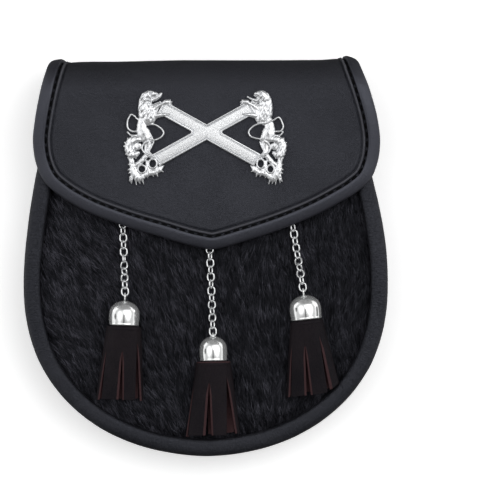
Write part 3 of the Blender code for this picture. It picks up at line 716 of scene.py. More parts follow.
ROLL_SECTION = (  # inset, height above its own base: a padded roll, fuller towards the inside
    (0.0, 4.1),
    (0.35, 5.8),
    (1.3, 7.05),
    (2.8, 7.85),
    (4.6, 8.3),
    (6.4, 8.45),
    (7.9, 8.25),
    (8.75, 7.4),
    (9.05, 6.0),
    (8.95, 4.2),
    (8.45, 2.1),
    (6.8, 0.45),
    (4.5, 0.0),
    (2.2, 0.45),
    (0.55, 2.1),
)
ROLL_MIDDLE = (4.5, 4.2)  # inset and height
FRONT_ROLL_BASE = 25.4


def soft_waves(points, size, seed):
    """Smooth random waves of about unit height over rows of points."""
    draw = np.random.default_rng(seed)
    total = np.zeros(len(points))
    for _ in range(7):
        heading = draw.normal(size=points.shape[1])
        heading *= 2 * math.pi / (size * np.linalg.norm(heading) * draw.uniform(0.7, 1.6))
        total += np.sin(points @ heading + draw.uniform(0, 2 * math.pi))
    return total / 2.6


def make_roll(name, base, replaced, seed):
    """A padded roll of leather round the pouch, a little uneven as hand-worked leather is."""
    path = body_path(0.0, RIM_TOP_Y, 420)
    piece = swept(name, path, round_section(ROLL_SECTION, 26))
    mark_run(piece, path)
    points = points_of(piece)
    middle = shifted_in(path, ROLL_MIDDLE[0])
    nearest = np.array([np.argmin(((middle - p) ** 2).sum(axis=1)) for p in points[:, :2]])
    spine = np.column_stack([middle[nearest], np.full(len(points), ROLL_MIDDLE[1])])
    waves = 0.011 * soft_waves(points, 34.0, seed) + 0.006 * soft_waves(points, 9.0, seed + 1)
    points = spine + (points - spine) * (1 + np.minimum(0.012, waves))[:, None]
    points[:, 2] = np.maximum(points[:, 2], 0.0) + base
    move_points(piece, points)
    wear(piece, "padded_leather", ROLL_LEATHER, replaces=(replaced,))


GUSSET_SECTION = (  # inset, height: a strip drawn in at mid depth, turned in at both seams
    (3.2, 8.0),
    (3.5, 9.6),
    (4.5, 12.0),
    (5.4, 15.2),
    (5.6, 17.0),
    (5.4, 18.8),
    (4.5, 22.0),
    (3.5, 24.4),
    (3.2, 26.0),
)
GUSSET_WALL = 2.0
GUSSET_TOP_Y = 80.0
GUSSET_CENTRE = (0.0, -10.0)
GUSSET_MIDDLE = (17.0, 8.5)  # height, and about how far from there its seams are


def make_gusset():
    """The side wall, softly puckered where it is sewn to the two rolls."""
    path = body_path(0.0, GUSSET_TOP_Y, 520)
    outer = even_steps(np.array(GUSSET_SECTION), 13)
    section = [tuple(row) for row in outer] + [(inset + GUSSET_WALL, z) for inset, z in outer[::-1]]
    piece = swept("side_gusset", path, section)
    mark_run(piece, path)
    points = points_of(piece)
    run = np.empty(len(points), np.float32)
    piece.data.attributes["along"].data.foreach_get("value", run)
    run = (run / MM).astype(float)
    pucker = np.sin(run * 2 * math.pi / 7.3 + 1.3 * np.sin(run / 23.0)) * np.sin(run / 31.0 + 0.7)
    seam = np.abs(points[:, 2] - GUSSET_MIDDLE[0]) / GUSSET_MIDDLE[1]
    draw = 0.35 * pucker * seam**2 * (1 - seam**6) + 0.5 * np.sin(run / 19.0) * (1 - seam**2)
    away = points[:, :2] - GUSSET_CENTRE
    away /= np.linalg.norm(away, axis=1)[:, None]
    points[:, :2] += away * draw[:, None]
    move_points(piece, points)
    wear(piece, "black_leather", ROLL_LEATHER, replaces=("gusset",), degrees=50.0)


# ---------------------------------------------------------------- the flap

BINDING_SECTION = (  # inset from the flap's edge, lift from the middle of the sheet
    (0.0, 0.1),
    (0.2, 0.85),
    (0.9, 1.50),
    (2.2, 2.08),
    (3.8, 2.55),
    (5.1, 2.80),
    (5.95, 2.66),
    (6.25, 2.10),
    (6.25, 1.0),
    (5.9, -0.6),
    (4.6, -1.1),
    (1.4, -1.1),
    (0.3, -0.6),
)
FLAP_EDGE_ROWS = (  # inset and lift: under the binding, stitch channel, raised bead, groove, field
    (5.0, -0.35),
    (5.9, -0.60),
    (6.2, -0.70),
    (7.20, -0.70),
    (7.40, -0.45),
    (7.60, 0.02),
    (7.90, 0.42),
    (8.30, 0.56),
    (8.70, 0.42),
    (9.00, 0.02),
    (9.20, -0.34),
    (9.55, -0.42),
    (9.90, -0.16),
    (10.40, -0.02),
    (11.0, 0.0),
)
FLAP_STEPS = 460
STITCH_INSET = 6.75
STITCH_PITCH = 4.8
BEAD_FROM, BEAD_TO = 7.5, 9.1
BEAD_PUCKER = 0.13  # how far each stitch draws the bead down


def cut_grid(rows, columns):
    """Cuts the selected flat faces along X and Y, as wide as the grids of places in mm say."""
    for places, normal in ((rows, (0, 1, 0)), (columns, (1, 0, 0))):
        for place in places:
            bpy.ops.mesh.select_all(action="SELECT")
            bpy.ops.mesh.bisect(plane_co=tuple(place * MM * axis for axis in normal), plane_no=normal)


def cut_leather(name, path, rows, across_y, across_x):
    """A flat sheet inside a path: a strip worked along it by rows of inset and lift, and its middle."""
    steps = {"x_subdivisions": len(path) - 1, "y_subdivisions": len(rows) - 1}
    piece = begun(bpy.ops.mesh.primitive_grid_add, size=1.0, **steps)
    piece.name = name
    move_points(piece, np.vstack([
        np.column_stack([shifted_in(path, inset), np.full(len(path), lift)]) for inset, lift in rows
    ]))
    inner = np.zeros(len(piece.data.vertices), bool)
    inner[-len(path):] = True
    bpy.ops.object.mode_set(mode="EDIT")
    bpy.ops.mesh.select_all(action="DESELECT")
    bpy.ops.object.mode_set(mode="OBJECT")
    piece.data.vertices.foreach_set("select", inner)
    bpy.ops.object.mode_set(mode="EDIT")
    bpy.ops.mesh.edge_face_add()
    bpy.ops.mesh.hide(unselected=True)
    cut_grid(across_y, across_x)
    bpy.ops.mesh.reveal()
    bpy.ops.mesh.select_all(action="SELECT")
    bpy.ops.mesh.normals_make_consistent(inside=False)
    bpy.ops.object.mode_set(mode="OBJECT")
    face_up(piece)
    return piece


def face_up(piece):
    """Turns a flat sheet over where it looks down."""
    if sum(face.normal.z * face.area for face in piece.data.polygons) < 0:
        piece.data.flip_normals()


def seam_stitches():
    """How many stitch pitches there are along the flap's edge."""
    return run_of(shifted_in(flap_path(), STITCH_INSET))[-1] / STITCH_PITCH


def make_flap():
    """The flap's sheet, with its stitch channel and bead, over the fold and down to its V."""
    path = flap_path(FLAP_STEPS)
    edge = shifted_in(path, FLAP_EDGE_ROWS[0][0])
    across_y = np.r_[np.arange(16.0, FOLD_Y, 4.0), np.linspace(FOLD_Y, FOLD_END, 34)]
    piece = cut_leather("flap_leather", path, FLAP_EDGE_ROWS, across_y, np.arange(-78.0, 79.0, 6.0))
    points = points_of(piece)
    # by its lift the raised bead is painted lighter, as polish and painted highlight, and the stitch channel
    # is left darkest as painted shade
    mark(piece, "wear_and_painted_light", np.clip((points[:, 2] + 0.1) / 0.5, 0.0, 1.0))
    pull = BEAD_PUCKER * np.cos(2 * math.pi * np.linspace(0.0, seam_stitches(), len(path)))
    for row, (inset, _) in enumerate(FLAP_EDGE_ROWS):
        if BEAD_FROM < inset < BEAD_TO:
            points[row * len(path):(row + 1) * len(path), 2] -= pull
    points[:, 2] += WALL / 2 + 0.09 * soft_waves(points[:, :2], 60.0, 5)
    move_points(piece, folded(points))
    finish_with(piece, "SOLIDIFY", thickness=WALL * MM, offset=-1.0)
    wear(piece, "black_leather", FLAP_LEATHER, replaces=("flap",))


def make_binding():
    path = flap_path(FLAP_STEPS)
    piece = swept("flap_binding", path, round_section(BINDING_SECTION, 24))
    mark_run(piece, path)
    move_points(piece, folded(points_of(piece)))
    wear(piece, "padded_leather", LIT_BINDING_LEATHER, replaces=("flap_rim",))


def one_stitch(length=3.5, width=1.2, height=0.9):
    """A stitch along X, dipping into the leather at both ends."""
    stitch = begun(bpy.ops.mesh.primitive_uv_sphere_add, segments=10, ring_count=8, radius=0.5 * MM)
    points = points_of(stitch)[:, [2, 1, 0]]
    points *= (length, width, height)
    points[:, 2] -= 0.25 * (points[:, 0] / (0.5 * length)) ** 2
    move_points(stitch, points)
    tidy_shell(stitch)
    return stitch


def stitch_places(line, up, pitch, slant=2.0):
    """Frames at even steps along rows of points, each turned a little off the seam."""
    along = run_of(line)
    count = int(along[-1] / pitch)
    places = []
    for distance in (np.arange(count) + 0.5) * along[-1] / count:
        before, at, after = (spot_on(line, along, distance + step) for step in (-0.8, 0, 0.8))
        frame_here = facing(at * MM, after - before, spot_on(up, along, distance))
        places.append(frame_here @ Matrix.Rotation(math.radians(slant), 4, "Z"))
    return places


def make_flap_stitches():
    """The seam in the flap's channel, over the fold and down both sides of the V."""
    flat = shifted_in(flap_path(1201), STITCH_INSET)
    flat = flat[flat[:, 1] < FOLD_END + 4.0]
    low = folded(np.column_stack([flat, np.full(len(flat), 0.75)]))
    high = folded(np.column_stack([flat, np.full(len(flat), 1.9)]))
    piece = copies_of("flap_stitches", one_stitch(), stitch_places(low, high - low, STITCH_PITCH))
    wear(piece, "black_leather", THREAD)


# ---------------------------------------------------------------- the hair front

HIDE_INSET = 8.6
HIDE_TOP_Y = 72.0
HIDE_SINK = 0.6  # the hide lies so far below the top of the hair
HAIR_LEAN = ((-90.0, 31.0), (-45.0, 26.0), (0.0, 13.0), (45.0, 6.0), (90.0, 3.0))  # x, degrees to the right
HAIR_PATCHES = ("left", "inner_left", "inner_right", "right")
HAIRS_PER_PATCH = 30000
PATCH_BOUNDS = (-85.8, -44.0, 0.0, 44.0, 85.8)
HAIRS_PER_CLUMP = 6
CLUMP_HALF_LENGTH = 2.2  # the roots of a clump's hairs lie so far up or down the coat
CLUMP_SPREAD = 0.15
HAIR_LENGTHS = (5.0, 9.5)
HAIR_THICKNESSES = (0.15, 0.26)
HAIR_RISES = (0.25, 0.95)
HAIR_SIDE_SHEEN = ((-90.0, 1.6), (0.0, 1.05), (90.0, 0.75))  # x, how light: painted sheen, the hair painted lighter towards the left
HAIR_SHARES = (0.0, 0.34, 0.70, 1.0)
HAIR_WIDTHS = (0.62, 1.0, 0.72, 0.0)
HAIR_LIFTS = (0.0, 0.62, 1.0, 0.86)


def seam_dip(share):
    """How deep the hide is drawn down towards the seam."""
    return 2.0 * np.clip((share - 0.92) / 0.08, 0.0, 1.0) ** 1.7


def make_hide():
    """The hide that carries the hair, domed over its padding and drawn down to the seam."""
    path = body_path(0.0, HIDE_TOP_Y, 320)
    edge = shifted_in(path, HIDE_INSET)
    rows = [(HIDE_INSET + 0.7 * step, 0.0) for step in range(7)]
    piece = cut_leather("hair_hide", path, rows, np.arange(-90.0, 70.0, 5.0), np.arange(-75.0, 76.0, 5.0))
    points = points_of(piece)
    share = fur_share(points[:, 0], points[:, 1])
    points[:, 2] = fur_height(points[:, 0], points[:, 1]) - HIDE_SINK - seam_dip(share)
    points[:, 2] += 0.12 * soft_waves(points[:, :2], 22.0, 11)
    move_points(piece, points)
    finish_with(piece, "SOLIDIFY", thickness=1.4 * MM, offset=-1.0)
    wear(piece, "calf_hair", HIDE, replaces=("fur_panel",))


def hair_roots(low_x, high_x, draw):
    """Places on the front between two lines, below where the flap hides it."""
    flap = flap_path(1201)
    flap = flap[flap[:, 1] < 60.0]
    order = np.argsort(flap[:, 0])
    x = draw.uniform(low_x, high_x, 3 * HAIRS_PER_PATCH)
    y = draw.uniform(-97.0, 70.0, len(x))
    hidden_from = np.interp(x, flap[order, 0], flap[order, 1]) + 13.0
    shown = (fur_share(x, y) < 1.01) & (y < np.minimum(hidden_from, 68.0))
    clumps = HAIRS_PER_PATCH // HAIRS_PER_CLUMP
    return x[shown][:clumps], y[shown][:clumps]


def grain_of(lean):
    """The ways along and across hairs that lean so far to the right of straight down."""
    return np.column_stack([np.sin(lean), -np.cos(lean)]), np.column_stack([np.cos(lean), np.sin(lean)])


def blade_mesh(name, rings):
    """Blades as one mesh, from their points: two across at each of three places, and the tip."""
    count = len(rings[0])
    start = np.arange(count) * len(rings)
    faces = ((0, 1, 3, 2), (2, 3, 5, 4), (4, 5, 6))
    corners = np.concatenate([np.stack([start + i for i in face], axis=1).ravel() for face in faces])
    sizes = np.r_[np.full(2 * count, 4), np.full(count, 3)]
    piece = begun(bpy.ops.mesh.primitive_plane_add, size=MM)
    piece.name = name
    mesh = piece.data
    mesh.clear_geometry()
    mesh.vertices.add(count * len(rings))
    mesh.loops.add(len(corners))
    mesh.polygons.add(len(sizes))
    mesh.loops.foreach_set("vertex_index", corners.astype(np.int32))
    mesh.polygons.foreach_set("loop_start", np.r_[0, np.cumsum(sizes)[:-1]].astype(np.int32))
    move_points(piece, np.stack(rings, axis=1).reshape(-1, 3))
    mesh.update(calc_edges=True)
    return piece


def make_hair():
    """Short hair lying flat: one blade shape, laid root to tip with the grain of the coat."""
    for number, side in enumerate(HAIR_PATCHES):
        draw = np.random.default_rng(40 + number)
        guides = np.column_stack(hair_roots(PATCH_BOUNDS[number], PATCH_BOUNDS[number + 1], draw))
        lean = np.interp(guides[:, 0], *zip(*HAIR_LEAN)) + 9.0 * soft_waves(guides, 42.0, 3)
        lean += 5.0 * soft_waves(guides, 11.0, 4) + draw.normal(0.0, 4.0, len(guides))
        # a few hairs get far lighter shades at random: partly their own random tone, partly painted highlight
        # for streaks of sheen
        shine = draw.uniform(0.0, 1.0, len(guides)) ** 5.0
        lean, shine = (np.repeat(values, HAIRS_PER_CLUMP) for values in (np.radians(lean), shine))
        count = len(lean)
        ahead, across = grain_of(lean)
        place = np.repeat(guides, HAIRS_PER_CLUMP, axis=0)
        place += ahead * draw.uniform(-CLUMP_HALF_LENGTH, CLUMP_HALF_LENGTH, count)[:, None]
        place += across * draw.normal(0.0, CLUMP_SPREAD, count)[:, None]
        lock = soft_waves(place, 3.2, 6)
        lean = lean + np.radians(3.0 * lock + draw.normal(0.0, 2.0, count))
        length = draw.uniform(*HAIR_LENGTHS, count)
        tip = place + ahead * length[:, None]
        length *= np.where(fur_share(tip[:, 0], tip[:, 1]) > 1.06, 0.45, 1.0)
        width = draw.uniform(*HAIR_THICKNESSES, count)
        lift = draw.uniform(*HAIR_RISES, count) + 0.16 * lock
        curl = draw.normal(0.0, 0.16, count)
        roll = draw.normal(0.0, 0.5, count)
        rings = []
        for share, wide, high in zip(HAIR_SHARES, HAIR_WIDTHS, HAIR_LIFTS):
            ahead, across = grain_of(lean + curl * share)
            middle = place + ahead * (length * share)[:, None]
            ground = fur_height(middle[:, 0], middle[:, 1]) - HIDE_SINK
            height = ground - seam_dip(fur_share(middle[:, 0], middle[:, 1])) + lift * high - 0.05
            half = 0.5 * wide * width
            for sign in (-1, 1) if wide else (0,):
                plane = middle + across * (sign * half * np.cos(roll))[:, None]
                rings.append(np.column_stack([plane, height + sign * half * np.sin(roll)]))
        piece = blade_mesh("calf_hair_" + side, rings)
        tone = shine * draw.uniform(0.7, 1.3, count) + 0.18 * np.clip(lock, 0.0, 1.5) ** 2
        # painted sheen: the hair is painted lighter towards the left and darker towards the right
        tone *= np.interp(place[:, 0], *zip(*HAIR_SIDE_SHEEN))
        mark(piece, "hair_tone_and_painted_sheen", np.repeat(np.minimum(tone, 2.2), len(rings)))
        wear(piece, "calf_hair", CALF_HAIR, degrees=80.0)


# ---------------------------------------------------------------- the badge

BADGE_BASE = FLAP_TOP_SHEET + WALL / 2 + GAP
BAR_THICKNESS = 1.8
BAR_BORDER = 1.0
CHANNEL_DEPTH = 0.7
ARMS = (  # which way in x and in y, length
    (1, 1, UPPER_ARM), (-1, 1, UPPER_ARM), (-1, -1, LOWER_ARM), (1, -1, LOWER_ARM)
)


def saltire_outline():
    """Corners of the X, counter-clockwise from the upper right arm."""
    half = BAR_WIDTH / 2
    ahead = np.array([math.cos(BAR_ANGLE), math.sin(BAR_ANGLE)])
    aside = np.array([-ahead[1], ahead[0]])
    corners = []
    for mirror_x, mirror_y, length in ARMS:
        ends = [ahead * length - aside * half, ahead * length + aside * half]
        ends = [end * (mirror_x, mirror_y) for end in ends]
        if mirror_x * mirror_y < 0:
            ends.reverse()
        corners += ends
        if mirror_x * mirror_y > 0:
            corners.append((0.0, mirror_y * half / math.cos(BAR_ANGLE)))
        else:
            tip = mirror_x * (half / math.sin(BAR_ANGLE) + INNER_TIP[0])
            corners += [(tip, -mirror_x * INNER_TIP[1]), (tip, mirror_x * INNER_TIP[1])]
    return np.array(corners, float)


def make_saltire():
    """The crossed bars: cut out, raised, and sunk inside a border."""
    corners = saltire_outline()
    piece = begun(bpy.ops.mesh.primitive_circle_add, vertices=len(corners), fill_type="NGON")
    move_points(piece, np.column_stack([corners + SALTIRE_SHIFT, np.zeros(len(corners))]))
    open_up()
    bpy.ops.mesh.normals_make_consistent(inside=False)
    bpy.ops.mesh.extrude_region_move(TRANSFORM_OT_translate={"value": (0, 0, BAR_THICKNESS * MM)})
    bpy.ops.mesh.inset(thickness=0.26 * MM, depth=0.14 * MM)
    bpy.ops.mesh.inset(thickness=(BAR_BORDER - 0.46) * MM, depth=0.0)
    bpy.ops.mesh.inset(thickness=0.36 * MM, depth=-CHANNEL_DEPTH * MM)
    bpy.ops.mesh.inset(thickness=0.30 * MM, depth=0.46 * MM)
    piece.data.materials.append(CAST_CHROME)
    piece.data.materials.append(STIPPLED_CHROME)
    piece.active_material_index = 1
    bpy.ops.object.material_slot_assign()
    bpy.ops.object.mode_set(mode="OBJECT")
    round_edges(piece, 0.10, 20.0)
    return piece


# one lion, facing the saltire from its left; x and y are from the saltire's middle
LION_FORMS = (  # name, then a run of x, y, radius and height
    ("skull", ((-30.6, 19.2, 2.5, 2.9), (-32.1, 17.7, 2.9, 2.8))),
    ("snout", ((-28.9, 19.9, 1.7, 2.9), (-27.1, 19.7, 1.2, 2.6))),
    ("nose", ((-27.1, 20.0, 1.0, 2.7), (-26.2, 19.9, 0.7, 2.3))),
    ("brow", ((-29.6, 20.8, 0.9, 3.1), (-28.3, 20.7, 0.6, 2.9))),
    ("tongue", ((-27.4, 18.1, 0.5, 1.7), (-25.6, 19.0, 0.3, 1.6))),
    ("ear", ((-33.1, 19.7, 0.9, 2.8), (-33.9, 18.9, 0.6, 2.5))),
    ("mane", ((-32.4, 16.3, 3.2, 2.4), (-32.3, 14.3, 3.8, 2.5), (-31.8, 12.2, 4.3, 2.5),
        (-31.2, 10.0, 4.8, 2.5), (-30.6, 8.1, 4.4, 2.4), (-31.2, 6.4, 3.0, 2.2))),
    ("chest", ((-28.5, 9.3, 2.2, 2.2), (-27.2, 7.7, 1.4, 2.0))),
    ("waist", ((-33.5, 5.4, 2.7, 2.1), (-34.0, 3.4, 2.7, 2.2), (-33.9, 1.4, 3.0, 2.3),
        (-33.0, -0.5, 3.6, 2.4), (-32.1, -2.3, 3.4, 2.4))),
    ("belly", ((-30.3, -3.1, 1.4, 1.9), (-28.8, -3.8, 0.9, 1.7))),
    ("thigh", ((-30.9, -5.0, 2.1, 1.8), (-30.9, -7.2, 1.9, 1.6), (-31.2, -9.3, 1.6, 1.6),
        (-30.5, -11.0, 1.4, 1.7))),
    ("foot", ((-30.6, -11.8, 1.2, 1.9), (-27.8, -13.3, 1.2, 1.9), (-25.2, -15.2, 1.0, 1.9))),
    ("hind_leg", ((-31.9, -12.5, 1.4, 2.1), (-33.5, -14.3, 1.4, 2.1), (-35.2, -16.1, 1.4, 2.1),
        (-37.0, -17.1, 1.6, 2.0))),
    ("tail_brush", ((-34.6, -3.9, 1.3, 2.0), (-37.3, -3.8, 1.9, 2.2), (-39.7, -4.8, 2.2, 2.3),
        (-40.8, -6.9, 2.2, 2.3), (-40.8, -9.1, 2.2, 2.3), (-39.7, -11.3, 2.3, 2.3),
        (-37.6, -11.7, 1.9, 2.1), (-35.7, -10.8, 1.0, 1.9))),
    ("tail_root", ((-39.8, -12.9, 1.5, 1.8), (-39.2, -15.2, 1.6, 1.8))),
    ("rock_left", ((-38.8, -17.2, 1.8, 2.0), (-38.3, -19.7, 2.2, 2.2), (-37.4, -22.2, 2.4, 2.2),
        (-35.5, -23.8, 2.1, 2.2), (-33.6, -23.2, 1.6, 2.1))),
    ("hollow", ((-39.0, -7.6, 2.4, 0.9), (-35.6, -7.4, 1.9, 0.9))),
    ("rock_right", ((-33.8, -22.9, 1.5, 2.1), (-31.4, -21.9, 1.5, 2.0), (-29.5, -21.3, 1.4, 2.0),
        (-27.1, -21.0, 1.4, 2.0), (-24.9, -19.7, 1.4, 2.0), (-23.5, -18.1, 0.9, 1.8))),
    ("rock_under_bar", ((-29.2, -19.9, 1.5, 1.9), (-26.6, -19.5, 1.5, 1.9), (-24.3, -18.4, 1.2, 1.8))),
    ("rock_middle", ((-31.2, -15.4, 1.0, 2.0), (-30.9, -17.9, 1.1, 2.1), (-30.6, -20.4, 1.3, 2.1))),
    ("upper_foreleg", ((-28.5, 11.5, 1.6, 2.1), (-25.3, 13.7, 1.2, 2.1), (-22.0, 15.2, 1.2, 2.3))),
    ("upper_paw", ((-21.7, 15.5, 1.4, 2.5), (-20.1, 15.7, 1.4, 2.4))),
    ("toe_a", ((-19.8, 16.1, 0.6, 2.4), (-19.1, 16.8, 0.3, 1.8))),
    ("toe_b", ((-19.3, 15.6, 0.6, 2.4), (-18.2, 15.6, 0.3, 1.8))),
    ("toe_c", ((-19.5, 15.0, 0.6, 2.4), (-18.3, 14.2, 0.3, 1.8))),
    ("lower_foreleg", ((-27.8, 8.2, 1.7, 2.1), (-25.3, 8.7, 1.4, 2.2), (-22.6, 9.0, 1.1, 2.3),
        (-19.4, 9.3, 0.6, 2.2))),
    ("elbow", ((-26.9, 10.6, 1.3, 1.9), (-25.8, 12.5, 1.0, 1.9))),
)
LION_JAWS = {  # the two lions' lower jaws differ
    "left": ((-28.5, 17.0, 1.4, 2.1), (-26.8, 17.3, 1.2, 2.1), (-25.2, 18.4, 1.1, 2.1),
        (-24.0, 19.8, 0.9, 2.0)),
    "right": ((-27.3, 17.2, 1.4, 2.1), (-25.6, 16.2, 1.1, 2.1), (-23.6, 16.9, 0.75, 2.1),
        (-20.9, 18.3, 0.5, 1.9)),
}
LION_LINES = (  # which lion, name, radius, height, run of x and y
    ("left", "front_loop", 0.56, 1.7, ((-30.6, 3.9), (-27.8, 4.0), (-24.9, 2.6), (-23.1, 0.9),
        (-22.6, -0.4), (-23.5, -2.2), (-25.5, -3.5), (-27.8, -4.2), (-30.1, -4.8))),
    ("left", "tail_loop", 0.59, 1.8, ((-34.8, 5.5), (-37.0, 7.5), (-39.4, 9.3), (-40.8, 7.2),
        (-41.5, 4.3), (-41.0, 1.8), (-39.2, 0.5), (-36.2, 0.4))),
    ("right", "front_loop", 0.56, 2.3, ((-35.7, 0.4), (-38.2, 0.6), (-39.5, 2.7), (-38.9, 5.0),
        (-37.2, 7.7), (-34.6, 6.3), (-30.3, 4.7), (-26.7, 4.3), (-23.2, 2.5), (-21.5, -0.0),
        (-22.3, -2.0), (-24.9, -3.1), (-27.5, -3.6))),
    ("both", "flank", 0.48, 2.1, ((-30.6, 0.4), (-29.2, -1.6), (-28.3, -3.8))),
    ("both", "tail_link", 0.54, 1.5, ((-41.4, -0.0), (-39.8, -1.5), (-36.9, -1.7))),
    ("both", "leg_line", 0.54, 2.3, ((-30.6, -4.7), (-33.1, -6.3), (-33.9, -8.2), (-32.9, -10.4),
        (-30.6, -12.0), (-27.8, -12.9), (-24.8, -15.4))),
    ("both", "leg_edge", 0.48, 2.1, ((-27.8, -5.2), (-29.0, -7.9), (-30.1, -10.2), (-28.5, -11.8))),
    ("both", "throat", 0.44, 2.1, ((-29.6, 13.2), (-27.1, 14.6), (-24.3, 15.7))),
    ("both", "jaw_line", 0.42, 2.75, ((-30.6, 16.9), (-29.2, 15.7), (-28.8, 14.0))),
)
LION_RINGS = (  # x, y, half width, half height, wire radius, height
    (-33.9, -19.2, 2.1, 2.1, 0.56, 2.3),
    (-28.3, -16.4, 2.2, 2.4, 0.60, 2.3),
)
LION_CLAWS = (  # from x, y to x, y
    (-39.6, -23.2, -40.5, -25.6),
    (-39.2, -24.4, -39.4, -26.7),
    (-37.2, -24.4, -36.7, -27.4),
    (-35.6, -24.9, -34.8, -26.9),
    (-33.9, -24.0, -32.9, -27.1),
    (-40.0, -17.0, -41.3, -16.7),
    (-40.2, -19.2, -41.2, -19.7),
    (-40.1, -21.1, -41.0, -21.5),
    (-26.3, -21.7, -25.6, -23.2),
    (-28.5, -22.1, -27.8, -23.1),
    (-24.4, -19.7, -22.8, -20.7),
    (-23.7, -18.1, -22.4, -17.4),
    (-31.0, -22.6, -30.9, -23.9),
)
TAIL_SCALLOPS = (
    (-37.0, -1.9), (-39.1, -2.2), (-41.4, -3.2), (-42.8, -5.4), (-43.1, -7.3),
    (-42.7, -9.3), (-42.2, -11.5), (-41.0, -13.3), (-39.1, -14.0), (-37.0, -13.5),
)
TAIL_MIDDLE = (-38.6, -7.8)
EYE_PLACE = (-29.2, 20.0)
CAST_VOXEL = 0.21
TOP_FLATNESS = 0.72
MANE_DEPTHS = {"left": 0.17, "right": 0.07}
RIGHT_SQUEEZE = 1.9  # how far in the right lion's tail stands, by the photo
RIGHT_LEAN = 1.1  # and how far further in its head stands than its feet


def lay_strokes(ball, points):
    """Rounded strokes between rows of x, y, radius and height, each a ball drawn out from end to end."""
    shape = points_of(ball)
    far = shape[:, 0] > 0.01
    made = []
    for (x1, y1, r1, h1), (x2, y2, r2, h2) in zip(points, points[1:]):
        ahead = np.array([x2 - x1, y2 - y1])
        ahead /= np.linalg.norm(ahead)
        aside = np.array([-ahead[1], ahead[0]])
        radius, height = np.where(far, r2, r1), np.where(far, h2, h1)
        plane = np.where(far[:, None], (x2, y2), (x1, y1)) + np.outer(shape[:, 0] * radius, ahead)
        plane += np.outer(shape[:, 1] * radius, aside)
        stroke = copy_of(ball)
        rise = np.sign(shape[:, 2]) * np.abs(shape[:, 2]) ** TOP_FLATNESS
        move_points(stroke, np.column_stack([plane, (0.35 + 0.65 * rise) * height]))
        made.append(stroke)
    return made


def placed(side, x, y):
    """A place on the left lion, or the one that answers to it on the right lion's mirror image."""
    if side == "left":
        return x
    squeeze = RIGHT_SQUEEZE * (1 - (x + 42.8) / 20.0) * (x < -22.8)
    lean = RIGHT_LEAN * min(max((y + 3.0) / 10.0, 0.0), 1.0)
    return x + squeeze + lean


def lion_runs(side):
    """Every stroke of one lion, as if it stood on the left."""
    shared = [points for _, points in LION_FORMS]
    own = [LION_JAWS[side]]
    for which, _, radius, height, points in LION_LINES:
        if which in (side, "both"):
            run = [(x, y, radius, height) for x, y in smooth_path(points, 3 * len(points))]
            (shared if which == "both" else own).append(run)
    for x, y, wide, high, wire, height in LION_RINGS:
        turns = np.linspace(0, 2 * math.pi, 17)
        shared.append([(x + wide * math.cos(t), y + high * math.sin(t), wire, height) for t in turns])
    for x1, y1, x2, y2 in LION_CLAWS:
        shared.append([(x1, y1, 0.75, 1.9), (x2, y2, 0.24, 1.1)])
    for x, y in TAIL_SCALLOPS:
        x2, y2 = np.array([x, y]) + 0.35 * (np.array(TAIL_MIDDLE) - (x, y))
        shared.append([(x, y, 0.5, 1.4), (x2, y2, 1.0, 2.3)])
    return own + [[(placed(side, x, y), y, radius, height) for x, y, radius, height in run] for run in shared]


def make_lion(side, seed):
    """A lion rampant on the saltire's left, built up from strokes and worked into one skin."""
    ball = begun(bpy.ops.mesh.primitive_uv_sphere_add, segments=12, ring_count=8, radius=MM)
    ball.data.transform(Matrix.Rotation(math.pi / 2, 4, "Y"))
    strokes = [stroke for points in lion_runs(side) for stroke in lay_strokes(ball, points)]
    bpy.data.objects.remove(ball)
    lion = join("lion_" + side, strokes)
    finish_with(lion, "REMESH", mode="VOXEL", voxel_size=CAST_VOXEL * MM)
    finish_with(lion, "SMOOTH", factor=0.5, iterations=2)
    points = points_of(lion)
    outward = np.empty(3 * len(points))
    lion.data.vertices.foreach_get("normal", outward)
    outward = outward.reshape(-1, 3)
    tufts = soft_waves(points * (1.0, 0.6, 0.5), 1.15, seed)
    eye_x = placed(side, *EYE_PLACE)
    in_mane = np.clip((points[:, 1] - 6.2) / 0.8, 0, 1) * np.clip((eye_x + 1.6 - points[:, 0]) / 0.8, 0, 1)
    in_mane *= np.clip((18.4 - points[:, 1]) / 0.8, 0, 1)
    in_brush = np.clip((-35.6 - points[:, 0]) / 0.8, 0, 1) * np.clip((-2.6 - points[:, 1]) / 0.8, 0, 1)
    depth = MANE_DEPTHS[side] * in_mane + 0.09 * in_brush + 0.02
    points += outward * (depth * np.clip(tufts, -1.2, 1.2))[:, None]
    away = np.hypot(points[:, 0] - eye_x, points[:, 1] - EYE_PLACE[1])
    points[:, 2] += 0.30 * np.exp(-((away / 0.34) ** 2)) - 0.42 * np.exp(-(((away - 0.62) / 0.24) ** 2))
    points[:, 2] = np.maximum(points[:, 2], 0.05)
    if side == "right":
        points[:, 0] *= -1
        lion.data.flip_normals()
    move_points(lion, points)
    finish_with(lion, "DECIMATE", ratio=0.6)
    lion.data.materials.append(CAST_CHROME)
    return lion


def make_badge():
    badge = join("badge_cast", [make_saltire(), make_lion("left", 61), make_lion("right", 62)])
    move_points(badge, points_of(badge) + (*BADGE_CENTRE, BADGE_BASE))
    wear(badge, "chrome", CAST_CHROME, STIPPLED_CHROME, replaces=("badge",), degrees=35.0)


# ---------------------------------------------------------------- chains, caps and tassels


def pendant_frame(x, y, lean, z):
    """The frame of a tassel: its own +Y runs up its chain."""
    return Matrix.Translation((x, y, z)) @ Matrix.Rotation(math.radians(lean), 4, "Z")


def scaled(place):
    """A frame in mm as one in metres."""
    place = place.copy()
    place.translation *= MM
    return place


